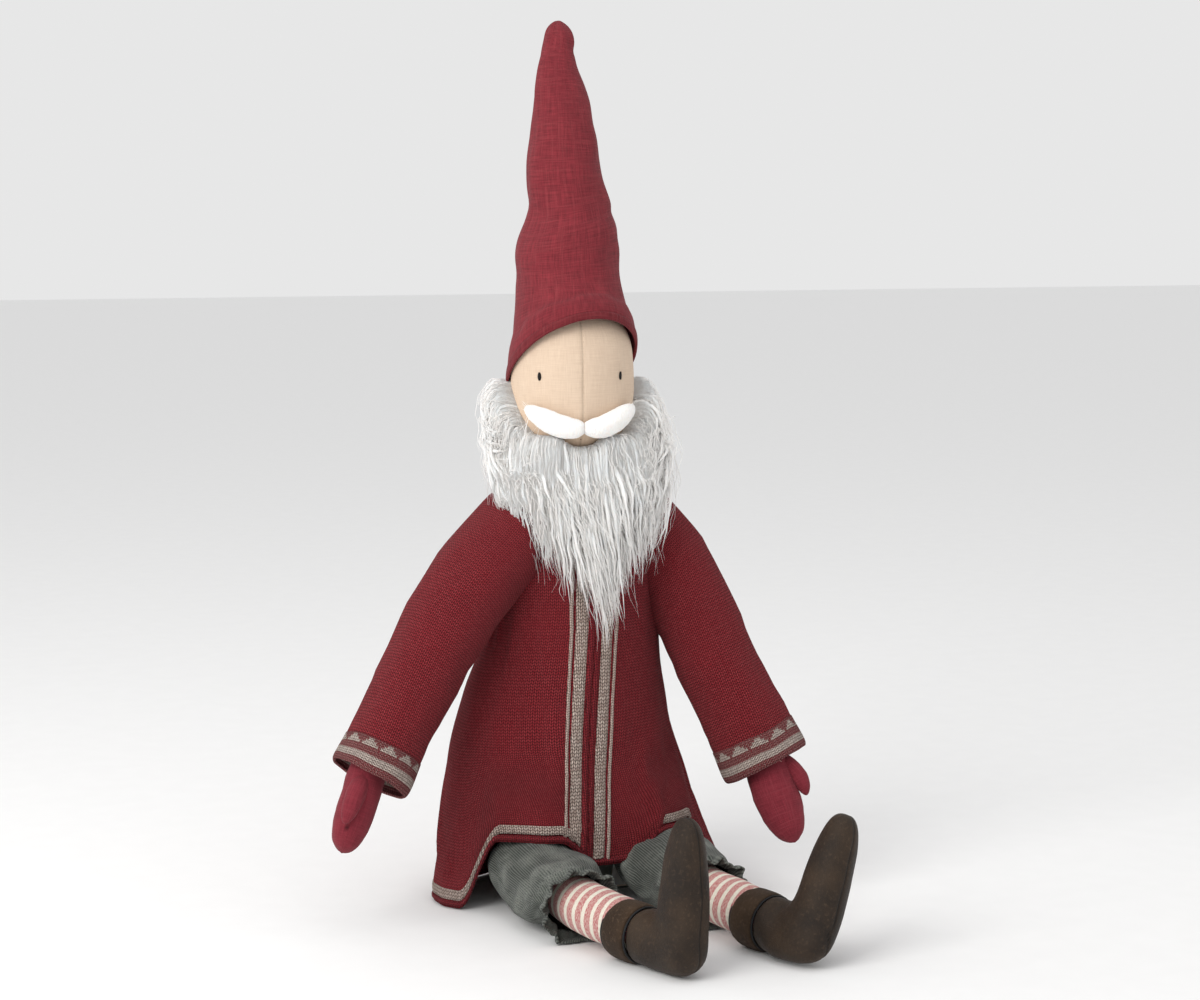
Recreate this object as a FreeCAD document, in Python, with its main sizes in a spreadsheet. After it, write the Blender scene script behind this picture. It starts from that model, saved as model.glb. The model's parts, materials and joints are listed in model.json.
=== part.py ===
# Seated cloth gnome with a tall pointed hat, knitted jacket, knickerbockers and pointed boots.
#
# Frame: millimetres, +Z up, the gnome looks along -Y and its left side is +X.
# Origin: centre of the flat seat, on the surface that the gnome sits on.
# Stuffed pieces are cloth shells round a filling. Arms turn about the shoulders, legs about the hips.

import FreeCAD, Part
import math
import os
import re

Vector = FreeCAD.Vector
Rotation = FreeCAD.Rotation
Placement = FreeCAD.Placement

doc = FreeCAD.newDocument("gnome")
sheet = doc.addObject("Spreadsheet::Sheet", "Sizes")

# Driving dimensions, in millimetres and degrees.
SIZES = [
    ("cloth", 1.2, "cotton and linen thickness"),
    ("knit", 3.0, "knitted wool thickness"),
    ("leather", 1.5, "boot leather thickness"),
    ("gap", 0.4, "clearance between neighbours"),
    ("reach", 900, "working size of cutting blocks"),
    ("seat_rise", 1.6, "underside of the body above the floor"),
    ("seat_width", 104, "body width at the seat"),
    ("seat_depth", 76, "body depth at the seat"),
    ("hip_height", 42, "widest part of the body"),
    ("hip_width", 116, "body width at the hips"),
    ("hip_depth", 88, "body depth at the hips"),
    ("chest_height", 220, "height of the chest"),
    ("chest_width", 104, "body width at the chest"),
    ("chest_depth", 76, "body depth at the chest"),
    ("shoulder_height", 288, "height of the shoulder joints"),
    ("shoulder_half", 58, "sideways distance of the arm holes"),
    ("shoulder_front", 8, "shoulder joints in front of the origin"),
    ("neck_width", 48, "neck diameter"),
    ("neck_height", 343, "top of the neck"),
    ("bag_width", 76, "pellet bag width"),
    ("bag_depth", 34, "pellet bag depth"),
    ("bag_high", 30, "pellet bag height"),
    ("head_base", 345, "underside of the head"),
    ("head_high", 121, "head height"),
    ("head_width", 95, "head width"),
    ("chin_width", 62, "width of the head's underside"),
    ("head_turn", -11, "head turned about the neck"),
    ("eye_height", 406, "height of the eyes"),
    ("eye_turn", 42, "angle of each eye from the face's middle"),
    ("eye_long", 8, "eye height"),
    ("eye_wide", 4, "eye width"),
    ("stitch", 1.8, "thickness of embroidery"),
    ("mouth_height", 361, "height of the mouth"),
    ("mouth_wide", 13, "mouth width"),
    ("moustache_height", 376, "height of the moustache"),
    ("moustache_long", 47, "length of each moustache half"),
    ("moustache_thick", 13, "moustache thickness"),
    ("moustache_lift", 12, "slope of each moustache half"),
    ("beard_top", 397, "top of the beard at the ears"),
    ("beard_tip", 202, "lowest lock of the beard"),
    ("beard_width", 130, "beard width"),
    ("beard_front", 56, "middle of the beard in front of the origin"),
    ("brim_height", 411, "hat edge at the ears"),
    ("brim_tilt", 39, "tilt of the hat edge"),
    ("brim_width", 103, "hat width at the edge"),
    ("hat_bump_height", 508, "fold above the head"),
    ("hat_bump_width", 81, "hat width at that fold"),
    ("hat_step_height", 545, "narrower part above the fold"),
    ("hat_step_width", 61, "hat width above the fold"),
    ("hat_knob_height", 655, "start of the rounded tip"),
    ("hat_knob_width", 26, "width of the rounded tip"),
    ("hat_top", 679, "top of the hat"),
    ("hat_lean", 30, "how far back the tip leans"),
    ("hat_hem_wide", 9, "turned hem of the hat"),
    ("jacket_floor", 2, "lower edge of the jacket at the sides and back"),
    ("jacket_hem_width", 230, "jacket width at the hem"),
    ("jacket_hem_depth", 138, "jacket depth at the hem"),
    ("jacket_waist_height", 140, "height of the jacket's waist"),
    ("jacket_waist_width", 174, "jacket width at the waist"),
    ("jacket_waist_depth", 112, "jacket depth at the waist"),
    ("jacket_chest_width", 128, "jacket width at the chest"),
    ("jacket_chest_depth", 94, "jacket depth at the chest"),
    ("jacket_top", 330, "upper edge of the jacket"),
    ("collar_high", 12, "height of the collar"),
    ("collar_width", 74, "collar width"),
    ("band_wide", 20, "width of each front band"),
    ("hem_wide", 12, "width of the patterned hem"),
    ("side_seam_back", 6, "side seams behind the origin"),
    ("front_drop", 36, "front bands end above the floor"),
    ("trousers_top", 84, "waistband of the trousers"),
    ("elastic_high", 6, "waist elastic"),
    ("hip_half", 50, "sideways distance of the hip joints"),
    ("hip_axis_height", 34, "height of the hip joints"),
    ("hip_front_right", 38, "right hip joint in front of the origin"),
    ("hip_front_left", 48, "left hip joint in front of the origin"),
    ("leg_room_inner", 12.5, "inner side of the space for a moving leg"),
    ("leg_room_outer", 92.5, "outer side of the space for a moving leg"),
    ("leg_room_jacket", 33, "that space above the hip joint, in the jacket"),
    ("leg_room_seat", 28, "that space above the hip joint, in the trousers"),
    ("leg_wide", 38, "leg diameter"),
    ("thigh_long", 100, "hip to knee"),
    ("shin_long", 112, "knee to heel"),
    ("thigh_yaw", -4, "thighs turned about the vertical"),
    ("right_shin_yaw", 16, "right shin turned about the vertical"),
    ("left_shin_yaw", 13, "left shin turned about the vertical"),
    ("knee_height", 27, "height of the knees"),
    ("ankle_height", 21, "height of the ankles"),
    ("puff_wide", 66, "widest part of a trouser leg"),
    ("puff_high", 60, "height of that part"),
    ("trouser_root", 50, "trouser leg at the hip"),
    ("trouser_hem", 46, "gathered hem of a trouser leg"),
    ("boot_high", 107, "heel to toe"),
    ("boot_wide", 33, "boot width"),
    ("boot_deep", 42, "boot depth at the heel"),
    ("shaft_long", 58, "boot shaft and cuff"),
    ("cuff_long", 13, "suede cuff of the boot"),
    ("cord_thick", 1.6, "cord round the boot"),
    ("right_toe_fall", 5, "right toe leans outward"),
    ("left_toe_fall", 18, "left toe leans outward"),
    ("arm_long", 207, "shoulder to the end of the sleeve"),
    ("arm_wide", 30, "stuffed arm diameter"),
    ("right_spread", 35, "right arm away from the body"),
    ("left_spread", 20, "left arm away from the body"),
    ("right_forward", 12, "right arm forward"),
    ("left_forward", 18, "left arm forward"),
    ("sleeve_root", 80, "sleeve width at the shoulder"),
    ("sleeve_cuff_wide", 74, "sleeve width at the cuff"),
    ("sleeve_cuff_deep", 50, "sleeve depth at the cuff"),
    ("cuff_band", 18, "patterned band of the cuff"),
    ("mitten_start", 180, "wrist seam from the shoulder"),
    ("mitten_long", 100, "wrist seam to finger tips"),
    ("mitten_wide", 36, "mitten width"),
    ("mitten_thick", 29, "mitten thickness"),
    ("thumb_long", 34, "thumb length"),
    ("thumb_thick", 13, "thumb thickness"),
    ("right_hand_roll", 75, "right hand rolled about its arm"),
    ("left_hand_roll", 0, "left hand rolled about its arm"),
]

for row, (alias, number, note) in enumerate(SIZES, start=1):
    sheet.set("A%d" % row, str(number))
    sheet.setAlias("A%d" % row, alias)
    sheet.set("B%d" % row, note)
doc.recompute()

ALIASES = sorted([alias for alias, number, note in SIZES], key=len, reverse=True)
ALIAS_PATTERN = re.compile(r"\b(" + "|".join(ALIASES) + r")\b")
nodes = []


def size(alias):
    """Number held by one cell of the sheet."""
    return float(sheet.get(alias))


def bind(thing, prop, formula):
    """Tie a property to a formula of sheet sizes."""
    thing.setExpression(prop, ALIAS_PATTERN.sub(r"Sizes.\1", formula))


def add(kind, name):
    """New document object with its own label."""
    thing = doc.addObject(kind, name)
    thing.Label = name
    return thing


def finish(thing):
    """Mark an object as a sub-part that is written out."""
    nodes.append(thing)
    return thing


def loft(name, rows, place=None, long_y=False):
    """Smooth solid through ellipses: (height, width, depth, centre y) formulas, one row each."""
    rings = []
    for index, (height, width, depth, middle) in enumerate(rows):
        ring = add("Part::Ellipse", "%s_ring_%d" % (name, index))
        major, minor = (depth, width) if long_y else (width, depth)
        bind(ring, "MajorRadius", "(%s) / 2" % major)
        bind(ring, "MinorRadius", "(%s) / 2" % minor)
        if long_y:
            ring.Placement.Rotation = Rotation(Vector(0, 0, 1), 90)
        bind(ring, "Placement.Base.z", height)
        bind(ring, "Placement.Base.y", middle)
        rings.append(ring)
    solid = add("Part::Loft", name)
    solid.Sections = rings
    solid.Solid = True
    solid.Ruled = False
    if place is not None:
        solid.Placement = place
    return solid


def grown(rows, wall, ends=""):
    """The same rows with every width and depth larger by a wall on both sides, and longer ends."""
    out = []
    last = len(rows) - 1
    for index, (height, width, depth, middle) in enumerate(rows):
        if ends and index == 0:
            height = "%s - (%s)" % (height, ends)
        if ends and index == last:
            height = "%s + (%s)" % (height, ends)
        out.append((height, "%s + 2 * (%s)" % (width, wall), "%s + 2 * (%s)" % (depth, wall), middle))
    return out


def cut(name, base, *tools):
    """Base without the tools."""
    for index, tool in enumerate(tools):
        step = add("Part::Cut", name if index == len(tools) - 1 else "%s_step_%d" % (name, index))
        step.Base = base
        step.Tool = tool
        base = step
    return base


def common(name, base, tool):
    """What base and tool share."""
    both = add("Part::Common", name)
    both.Base = base
    both.Tool = tool
    return both


def fuse(name, shapes):
    """Shapes joined to one."""
    joined = add("Part::MultiFuse", name)
    joined.Shapes = shapes
    joined.Refine = False
    return joined


def block(name, low_x, high_x, low_y, high_y, low_z, high_z, place=None):
    """Box between two corners, in its own frame."""
    box = add("Part::Box", name)
    box.Length = high_x - low_x
    box.Width = high_y - low_y
    box.Height = high_z - low_z
    corner = Placement(Vector(low_x, low_y, low_z), Rotation())
    box.Placement = corner if place is None else place.multiply(corner)
    return box


def ellipsoid(name, width, depth, height, place):
    """Rounded piece with three diameters given as formulas."""
    egg = add("Part::Ellipsoid", name)
    bind(egg, "Radius1", "(%s) / 2" % height)
    bind(egg, "Radius2", "(%s) / 2" % width)
    bind(egg, "Radius3", "(%s) / 2" % depth)
    egg.Angle1 = -90
    egg.Angle2 = 90
    egg.Angle3 = 360
    egg.Placement = place
    return egg


def ball(name, diameter, centre):
    """Sphere at a point."""
    sphere = add("Part::Sphere", name)
    bind(sphere, "Radius", "(%s) / 2" % diameter)
    sphere.Placement = Placement(centre, Rotation())
    return sphere


HALF = size("reach") / 2
SIDE_SEAM = size("side_seam_back")


def leg_zone(name, side, radius):
    """Space that a leg sweeps from straight ahead to straight down, with the disc round its hip."""
    front = size("hip_front_left") if side > 0 else size("hip_front_right")
    inner = size("leg_room_inner")
    outer = size("leg_room_outer")
    low = inner if side > 0 else -outer
    high = outer if side > 0 else -inner
    centre_z = size("hip_axis_height")
    ahead = block(name + "_ahead", low, high, -HALF, -front, -HALF, centre_z + radius)
    below = block(name + "_below", low, high, -HALF, -front + radius, -HALF, centre_z)
    disc = add("Part::Cylinder", name + "_disc")
    disc.Radius = radius
    disc.Height = high - low
    disc.Placement = Placement(Vector(low, -front, centre_z), Rotation(Vector(0, 1, 0), 90))
    return fuse(name, [ahead, below, disc])


def arm_zone(name, side, start):
    """Funnel about the shoulder axis that holds the whole arm, however it is turned."""
    steps = [(0, 75), (19, 119), (42, 190), (67, 290)]
    turn = Rotation(Vector(0, 1, 0), 90 if side > 0 else -90)
    pieces = []
    for index in range(len(steps) - 1):
        cone = add("Part::Cone", "%s_cone_%d" % (name, index))
        cone.Radius1 = steps[index][1]
        cone.Radius2 = steps[index + 1][1]
        cone.Height = steps[index + 1][0] - steps[index][0]
        cone.Placement = Placement(shoulder(side, start + steps[index][0]), turn)
        pieces.append(cone)
    drum = add("Part::Cylinder", name + "_drum")
    drum.Radius = steps[-1][1] + 20
    drum.Height = HALF
    drum.Placement = Placement(shoulder(side, start + steps[-1][0]), turn)
    pieces.append(drum)
    return fuse(name, pieces)


def shoulder(side, out):
    """Point on the shoulder axis, a distance to one side."""
    return Vector(side * out, -size("shoulder_front"), size("shoulder_height"))


def along(start, direction, roll=0.0):
    """Placement whose Z axis runs along a direction, with X kept towards +X."""
    heading = Vector(direction)
    heading.normalize()
    across = Vector(1, 0, 0) - heading * heading.x
    across.normalize()
    third = heading.cross(across)
    frame = Rotation(across, third, heading, "ZXY")
    return Placement(start, frame.multiply(Rotation(Vector(0, 0, 1), roll)))


ROOM_JACKET = size("leg_room_jacket")
ROOM_SEAT = size("leg_room_seat")
legs_wide = {
    "left": leg_zone("left_leg_space", 1, ROOM_JACKET),
    "right": leg_zone("right_leg_space", -1, ROOM_JACKET),
}
legs_near = {
    "left": leg_zone("left_hip_space", 1, ROOM_SEAT),
    "right": leg_zone("right_hip_space", -1, ROOM_SEAT),
}
SHOULDER = size("shoulder_half")
arms_jacket = {
    "left": arm_zone("left_arm_space", 1, SHOULDER),
    "right": arm_zone("right_arm_space", -1, SHOULDER),
}
arms_sleeve = {
    "left": arm_zone("left_sleeve_space", 1, SHOULDER + size("gap")),
    "right": arm_zone("right_sleeve_space", -1, SHOULDER + size("gap")),
}

BODY_ROWS = [
    ("seat_rise", "seat_width", "seat_depth", "6"),
    ("seat_rise + 12", "hip_width - 3", "hip_depth - 3", "2"),
    ("hip_height", "hip_width", "hip_depth", "0"),
    ("(hip_height + chest_height) / 2", "hip_width - 9", "hip_depth - 8", "0"),
    ("chest_height", "chest_width", "chest_depth", "0"),
    ("shoulder_height", "chest_width - 12", "chest_depth - 12", "0"),
    ("neck_height - 18", "neck_width + 6", "neck_width + 4", "0"),
    ("neck_height", "neck_width", "neck_width - 2", "0"),
]


def build_body():
    """Cloth body, its filling and the pellet bag that steadies the seat."""
    outer = loft("body_outer", BODY_ROWS)
    inner = loft("body_inner", grown(BODY_ROWS, "-cloth", "-cloth"))
    fill = loft("body_fill", grown(BODY_ROWS, "-cloth - gap / 2", "-cloth - gap / 2"))
    finish(cut("body_cover", outer, inner, legs_near["left"], legs_near["right"]))
    middle = Placement(Vector(0, 16, size("seat_rise") + 6 + size("bag_high") / 2), Rotation())
    bag = finish(ellipsoid("seat_pellet_bag", "bag_width", "bag_depth", "bag_high", middle))
    room = ellipsoid("bag_room", "bag_width + gap", "bag_depth + gap", "bag_high + gap", middle)
    finish(cut("body_stuffing", fill, room, legs_near["left"], legs_near["right"]))


TROUSER_ROWS = [
    ("seat_rise - cloth - gap", "seat_width + 2 * cloth + 2 * gap", "seat_depth + 2 * cloth + 2 * gap", "6"),
    ("seat_rise + 12", "hip_width + 2", "hip_depth + 2", "2"),
    ("hip_height", "hip_width + 6", "hip_depth + 6", "0"),
    ("trousers_top", "hip_width + 2", "hip_depth + 2", "0"),
]


def build_trousers_seat():
    """Seat of the trousers and the elastic in its waistband."""
    outer = loft("trousers_outer", TROUSER_ROWS)
    body_room = loft("body_room", grown(BODY_ROWS, "gap", "gap"))
    finish(cut("trousers_seat", outer, body_room, legs_near["left"], legs_near["right"]))
    top = "trousers_top + gap"
    rows = [(top, "hip_width + 2", "hip_depth + 2", "0"), (top + " + elastic_high", "hip_width", "hip_depth", "0")]
    ring = loft("elastic_outer", rows)
    finish(cut("waist_elastic", ring, body_room))


def head_frame():
    """Head placement: turned about the vertical through the neck."""
    return Placement(Vector(0, -2, size("head_base")), Rotation(Vector(0, 0, 1), size("head_turn")))


HEAD_ROWS = [
    ("0", "chin_width", "chin_width - 2", "0"),
    ("0.11 * head_high", "head_width - 14", "head_width - 16", "0"),
    ("0.28 * head_high", "head_width - 3", "head_width - 4", "0"),
    ("0.5 * head_high", "head_width", "head_width - 1", "0"),
    ("0.74 * head_high", "head_width - 6", "head_width - 6", "0"),
    ("0.91 * head_high", "head_width - 32", "head_width - 32", "0"),
    ("head_high", "head_width - 75", "head_width - 75", "0"),
]


def build_head():
    """Head cover in two halves with a seam down the face, its filling and the embroidered features."""
    place = head_frame()
    outer = loft("head_outer", HEAD_ROWS, place)
    inner = loft("head_inner", grown(HEAD_ROWS, "-cloth", "-cloth"), place)
    shell = cut("head_shell", outer, inner)
    left = block("head_left_block", 0, HALF, -HALF, HALF, -HALF, HALF, place)
    right = block("head_right_block", -HALF, 0, -HALF, HALF, -HALF, HALF, place)
    finish(common("head_cover_left", shell, left))
    finish(common("head_cover_right", shell, right))
    finish(loft("head_stuffing", grown(HEAD_ROWS, "-cloth - gap / 2", "-cloth - gap / 2"), place))
    for name, side in (("left", 1), ("right", -1)):
        turn = size("head_turn") + side * size("eye_turn")
        out = size("head_width") / 2 + size("stitch") / 2 + 0.3
        spot = Rotation(Vector(0, 0, 1), turn).multVec(Vector(0, -out, 0))
        spot = spot + Vector(0, -2, size("eye_height"))
        eye = Placement(spot, Rotation(Vector(0, 0, 1), turn))
        finish(ellipsoid(name + "_eye", "eye_wide", "stitch", "eye_long", eye))
    out = size("head_width") / 2 - 4
    spot = Rotation(Vector(0, 0, 1), size("head_turn")).multVec(Vector(0, -out, 0))
    spot = spot + Vector(0, -2, size("mouth_height"))
    lips = Placement(spot, Rotation(Vector(0, 0, 1), size("head_turn")))
    finish(ellipsoid("mouth_stitch", "mouth_wide", "stitch", "stitch", lips))


def moustache_place(side, extra=0.0):
    """Placement of one moustache half, tangent to the face and rising outward."""
    turn = size("head_turn") + side * 27
    out = size("head_width") / 2 + size("moustache_thick") / 2 + 0.6 + extra
    spot = Rotation(Vector(0, 0, 1), turn).multVec(Vector(0, -out, 0))
    spot = spot + Vector(0, -2, size("moustache_height"))
    around = Rotation(Vector(0, 0, 1), turn)
    lift = Rotation(Vector(0, 1, 0), -side * size("moustache_lift"))
    return Placement(spot, around.multiply(lift))


def build_hair():
    """Two felted moustache halves and the long wool beard."""
    for name, side in (("left", 1), ("right", -1)):
        shape = ("moustache_long", "moustache_thick", "moustache_thick")
        finish(ellipsoid("moustache_" + name, *shape, moustache_place(side)))
    rows = [
        ("beard_tip", "16", "8", "-beard_front - 4"),
        ("beard_tip + 45", "0.45 * beard_width", "17", "-beard_front - 4"),
        ("beard_tip + 100", "0.85 * beard_width", "24", "-beard_front"),
        ("mouth_height - 6", "beard_width - 4", "23", "-beard_front + 4"),
    ]
    bib = loft("beard_bib", rows)
    ring = add("Part::Cylinder", "beard_ring")
    bind(ring, "Radius", "beard_width / 2 - 3")
    bind(ring, "Height", "beard_top - head_base")
    ring.Placement = Placement(Vector(0, 0, size("head_base")), Rotation())
    hole = add("Part::Cylinder", "beard_hole")
    bind(hole, "Radius", "head_width / 2 + 2.6")
    bind(hole, "Height", "beard_top - head_base + 20")
    hole.Placement = Placement(Vector(0, 0, size("head_base") - 10), Rotation())
    turned = Placement(Vector(0, 0, 0), Rotation(Vector(0, 0, 1), size("head_turn")))
    behind = block("beard_behind", -HALF, HALF, 4, HALF, -HALF, HALF)
    face = block("beard_face", -50, 50, -HALF, -12, size("mouth_height") - 4, HALF, turned)
    sides = cut("beard_sides", ring, hole, behind, face)
    finish(fuse("beard", [bib, sides]))


HAT_ROWS = [
    ("brim_height - 75", "brim_width + 2", "brim_width + 2", "-1"),
    ("brim_height - 45", "brim_width + 1", "brim_width + 1", "-1"),
    ("brim_height - 15", "brim_width + 1", "brim_width + 1", "-1"),
    ("brim_height + 30", "brim_width - 3", "brim_width - 3", "1"),
    ("brim_height + 66", "hat_bump_width + 3", "hat_bump_width + 3", "0.32 * hat_lean"),
    ("hat_bump_height", "hat_bump_width", "hat_bump_width", "0.42 * hat_lean"),
    ("hat_step_height", "hat_step_width", "hat_step_width", "0.52 * hat_lean"),
    ("(hat_step_height + hat_knob_height) / 2", "hat_step_width - 11", "hat_step_width - 11", "0.72 * hat_lean"),
    ("hat_knob_height", "hat_knob_width", "hat_knob_width", "0.94 * hat_lean"),
    ("hat_top - 7", "hat_knob_width - 6", "hat_knob_width - 6", "hat_lean"),
    ("hat_top", "5", "5", "hat_lean"),
]


def brim_frame(above):
    """Frame whose XY plane lies in the tilted hat edge, or a distance above it."""
    tilt = Rotation(Vector(1, 0, 0), -size("brim_tilt"))
    return Placement(Vector(0, 0, size("brim_height")), tilt).multiply(Placement(Vector(0, 0, above), Rotation()))


def build_hat():
    """Pointed hat of one linen piece, the turned hem and the light filling of the point."""
    outer = loft("hat_outer", HAT_ROWS)
    inner = loft("hat_inner", grown(HAT_ROWS, "-cloth", "-cloth"))
    shell = cut("hat_shell", outer, inner)
    below = block("hat_below", -HALF, HALF, -HALF, HALF, -HALF, 0, brim_frame(0))
    finish(cut("hat_cover", shell, below))
    hem_outer = loft("hem_outer", grown(HAT_ROWS, "0.9"))
    hem_inner = loft("hem_inner", grown(HAT_ROWS, "0.1", "0.1"))
    hem_ring = cut("hem_ring", hem_outer, hem_inner)
    strip = block("hem_strip", -HALF, HALF, -HALF, HALF, 0, size("hat_hem_wide"), brim_frame(0))
    finish(common("hat_hem", hem_ring, strip))
    fill = loft("hat_fill", grown(HAT_ROWS, "-cloth - gap", "-cloth - gap"))
    head_top = size("head_base") + size("head_high") + 1
    finish(cut("hat_stuffing", fill, block("hat_head", -HALF, HALF, -HALF, HALF, -HALF, head_top)))


JACKET_ROWS = [
    ("jacket_floor", "jacket_hem_width", "jacket_hem_depth", "-3"),
    ("jacket_floor + 70", "jacket_hem_width - 26", "jacket_hem_depth - 10", "-3"),
    ("jacket_waist_height", "jacket_waist_width", "jacket_waist_depth", "-1"),
    ("chest_height", "jacket_chest_width + 8", "jacket_chest_depth + 4", "0"),
    ("shoulder_height - 18", "jacket_chest_width", "jacket_chest_depth", "0"),
    ("shoulder_height + 17", "jacket_chest_width - 18", "jacket_chest_depth - 14", "0"),
    ("jacket_top", "collar_width + 4", "collar_width", "0"),
]
COLLAR_ROWS = [
    ("jacket_top + gap / 4", "collar_width + 4", "collar_width", "0"),
    ("jacket_top + collar_high", "collar_width - 6", "collar_width - 8", "0"),
]


def build_jacket():
    """Knitted jacket body: back, two fronts, two patterned front bands, hem and collar."""
    outer = loft("jacket_outer", JACKET_ROWS)
    inner = loft("jacket_inner", grown(JACKET_ROWS, "-knit", "0.01"))
    spaces = [legs_wide["left"], legs_wide["right"], arms_jacket["left"], arms_jacket["right"]]
    shell = cut("jacket_shell", outer, inner, *spaces)
    hem_top = size("jacket_floor") + size("hem_wide")
    low = block("hem_block", -HALF, HALF, -HALF, HALF, -HALF, hem_top)
    middle = block("front_middle", -15, 15, -HALF, 0, -HALF, size("front_drop"))
    hem_all = common("hem_all", shell, low)
    finish(cut("jacket_hem", hem_all, middle))
    upper = cut("jacket_upper", shell, low, middle)
    band = size("band_wide")
    finish(common("jacket_back", upper, block("back_block", -HALF, HALF, SIDE_SEAM, HALF, -HALF, HALF)))
    finish(common("jacket_front_left", upper, block("left_block", band, HALF, -HALF, SIDE_SEAM, -HALF, HALF)))
    finish(common("jacket_front_right", upper, block("right_block", -HALF, -band, -HALF, SIDE_SEAM, -HALF, HALF)))
    finish(common("front_band_left", upper, block("left_band_block", 0.1, band, -HALF, 0, -HALF, HALF)))
    finish(common("front_band_right", upper, block("right_band_block", -band, -0.1, -HALF, 0, -HALF, HALF)))
    ring = loft("collar_outer", COLLAR_ROWS)
    hole = loft("collar_inner", grown(COLLAR_ROWS, "-knit", "0.01"))
    finish(cut("jacket_collar", ring, hole))


def arm_frame(name, side, roll=0.0):
    """Placement along one arm, from the shoulder towards the hand."""
    spread = math.radians(size(name + "_spread"))
    forward = math.radians(size(name + "_forward"))
    direction = Vector(
        side * math.sin(spread),
        -math.cos(spread) * math.sin(forward),
        -math.cos(spread) * math.cos(forward),
    )
    return along(shoulder(side, SHOULDER + 4), direction, roll)


def build_arm(name, side):
    """One stuffed arm with its mitten, and the jacket sleeve round it."""
    place = arm_frame(name, side)
    zone = arms_sleeve[name]
    rows = [
        ("-34", "sleeve_root - 44", "sleeve_root - 48", "0"),
        ("-24", "sleeve_root - 10", "sleeve_root - 14", "0"),
        ("0", "sleeve_root + 2", "sleeve_root - 2", "0"),
        ("0.35 * arm_long", "sleeve_root - 8", "sleeve_root - 14", "0"),
        ("0.7 * arm_long", "sleeve_cuff_wide - 5", "sleeve_cuff_deep + 5", "0"),
        ("arm_long", "sleeve_cuff_wide", "sleeve_cuff_deep", "0"),
    ]
    outer = loft(name + "_sleeve_outer", rows, place)
    rows_inside = grown(rows, "-knit")
    rows_inside[0] = ("-34 + knit",) + rows_inside[0][1:]
    rows_inside[-1] = ("arm_long + 0.01",) + rows_inside[-1][1:]
    inner = loft(name + "_sleeve_inner", rows_inside, place)
    tube = cut(name + "_sleeve_tube", outer, inner)
    edge = size("arm_long") - size("cuff_band")
    end = block(name + "_cuff_block", -HALF, HALF, -HALF, HALF, edge, HALF, place)
    finish(common(name + "_sleeve", cut(name + "_sleeve_plain", tube, end), zone))
    finish(common(name + "_cuff_band", tube, end))
    arm_rows = [
        ("6", "arm_wide - 6", "arm_wide - 6", "0"),
        ("26", "arm_wide", "arm_wide", "0"),
        ("mitten_start - 0.2", "arm_wide - 4", "arm_wide - 6", "0"),
    ]
    arm_outer = loft(name + "_arm_outer", arm_rows, place)
    arm_inner = loft(name + "_arm_inner", grown(arm_rows, "-cloth", "-cloth"), place)
    finish(common(name + "_arm_cover", cut(name + "_arm_shell", arm_outer, arm_inner), zone))
    fill = loft(name + "_arm_fill", grown(arm_rows, "-cloth - gap / 2", "-cloth - gap / 2"), place)
    finish(common(name + "_arm_stuffing", fill, zone))
    build_mitten(name, side)


def build_mitten(name, side):
    """Stuffed mitten in two halves with a seam round its edge, thumb on the outer side."""
    place = arm_frame(name, side, size(name + "_hand_roll"))
    rows = [
        ("mitten_start", "arm_wide - 4", "arm_wide - 6", "0"),
        ("mitten_start + 0.25 * mitten_long", "mitten_wide - 6", "mitten_thick - 3", "0"),
        ("mitten_start + 0.55 * mitten_long", "mitten_wide", "mitten_thick", "0"),
        ("mitten_start + 0.8 * mitten_long", "mitten_wide - 2", "mitten_thick - 3", "0"),
        ("mitten_start + 0.95 * mitten_long", "mitten_wide - 16", "mitten_thick - 12", "0"),
        ("mitten_start + mitten_long", "5", "4", "0"),
    ]
    lean = Rotation(Vector(0, 1, 0), side * 6)
    base = size("mitten_start") + 0.5 * size("mitten_long") - 6
    spot = Placement(Vector(side * (size("mitten_wide") / 2 - 2), 0, base), lean)
    thumb_place = place.multiply(spot)
    outer_thumb = ellipsoid(name + "_thumb_outer", "thumb_thick", "thumb_thick", "thumb_long", thumb_place)
    less = " - 2 * cloth"
    inner_thumb = ellipsoid(
        name + "_thumb_inner", "thumb_thick" + less, "thumb_thick" + less, "thumb_long" + less, thumb_place)
    outer = fuse(name + "_mitten_outer", [loft(name + "_hand_outer", rows, place), outer_thumb])
    hand_inner = loft(name + "_hand_inner", grown(rows, "-cloth", "-cloth"), place)
    inner = fuse(name + "_mitten_inner", [hand_inner, inner_thumb])
    shell = cut(name + "_mitten_shell", outer, inner)
    palm = block(name + "_palm_block", -HALF, HALF, 0, HALF, -HALF, HALF, place)
    back = block(name + "_back_block", -HALF, HALF, -HALF, 0, -HALF, HALF, place)
    finish(common(name + "_mitten_palm", shell, palm))
    finish(common(name + "_mitten_back", shell, back))
    hand_fill = loft(name + "_hand_fill", grown(rows, "-cloth - gap / 2", "-cloth - gap / 2"), place)
    less = " - 2 * cloth - gap"
    thumb_fill = ellipsoid(
        name + "_thumb_fill", "thumb_thick" + less, "thumb_thick" + less, "thumb_long" + less, thumb_place)
    finish(fuse(name + "_mitten_stuffing", [hand_fill, thumb_fill]))


def leg_points(name, side):
    """Hip, knee and ankle of one leg."""
    hip = Vector(side * size("hip_half"), -size("hip_front_" + name), size("hip_axis_height"))
    yaw = math.radians(size("thigh_yaw"))
    thigh = size("thigh_long")
    knee = hip + Vector(thigh * math.sin(yaw), -thigh * math.cos(yaw), 0)
    knee.z = size("knee_height")
    yaw = math.radians(size(name + "_shin_yaw"))
    shin = size("shin_long")
    ankle = knee + Vector(shin * math.sin(yaw), -shin * math.cos(yaw), 0)
    ankle.z = size("ankle_height")
    return hip, knee, ankle


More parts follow.
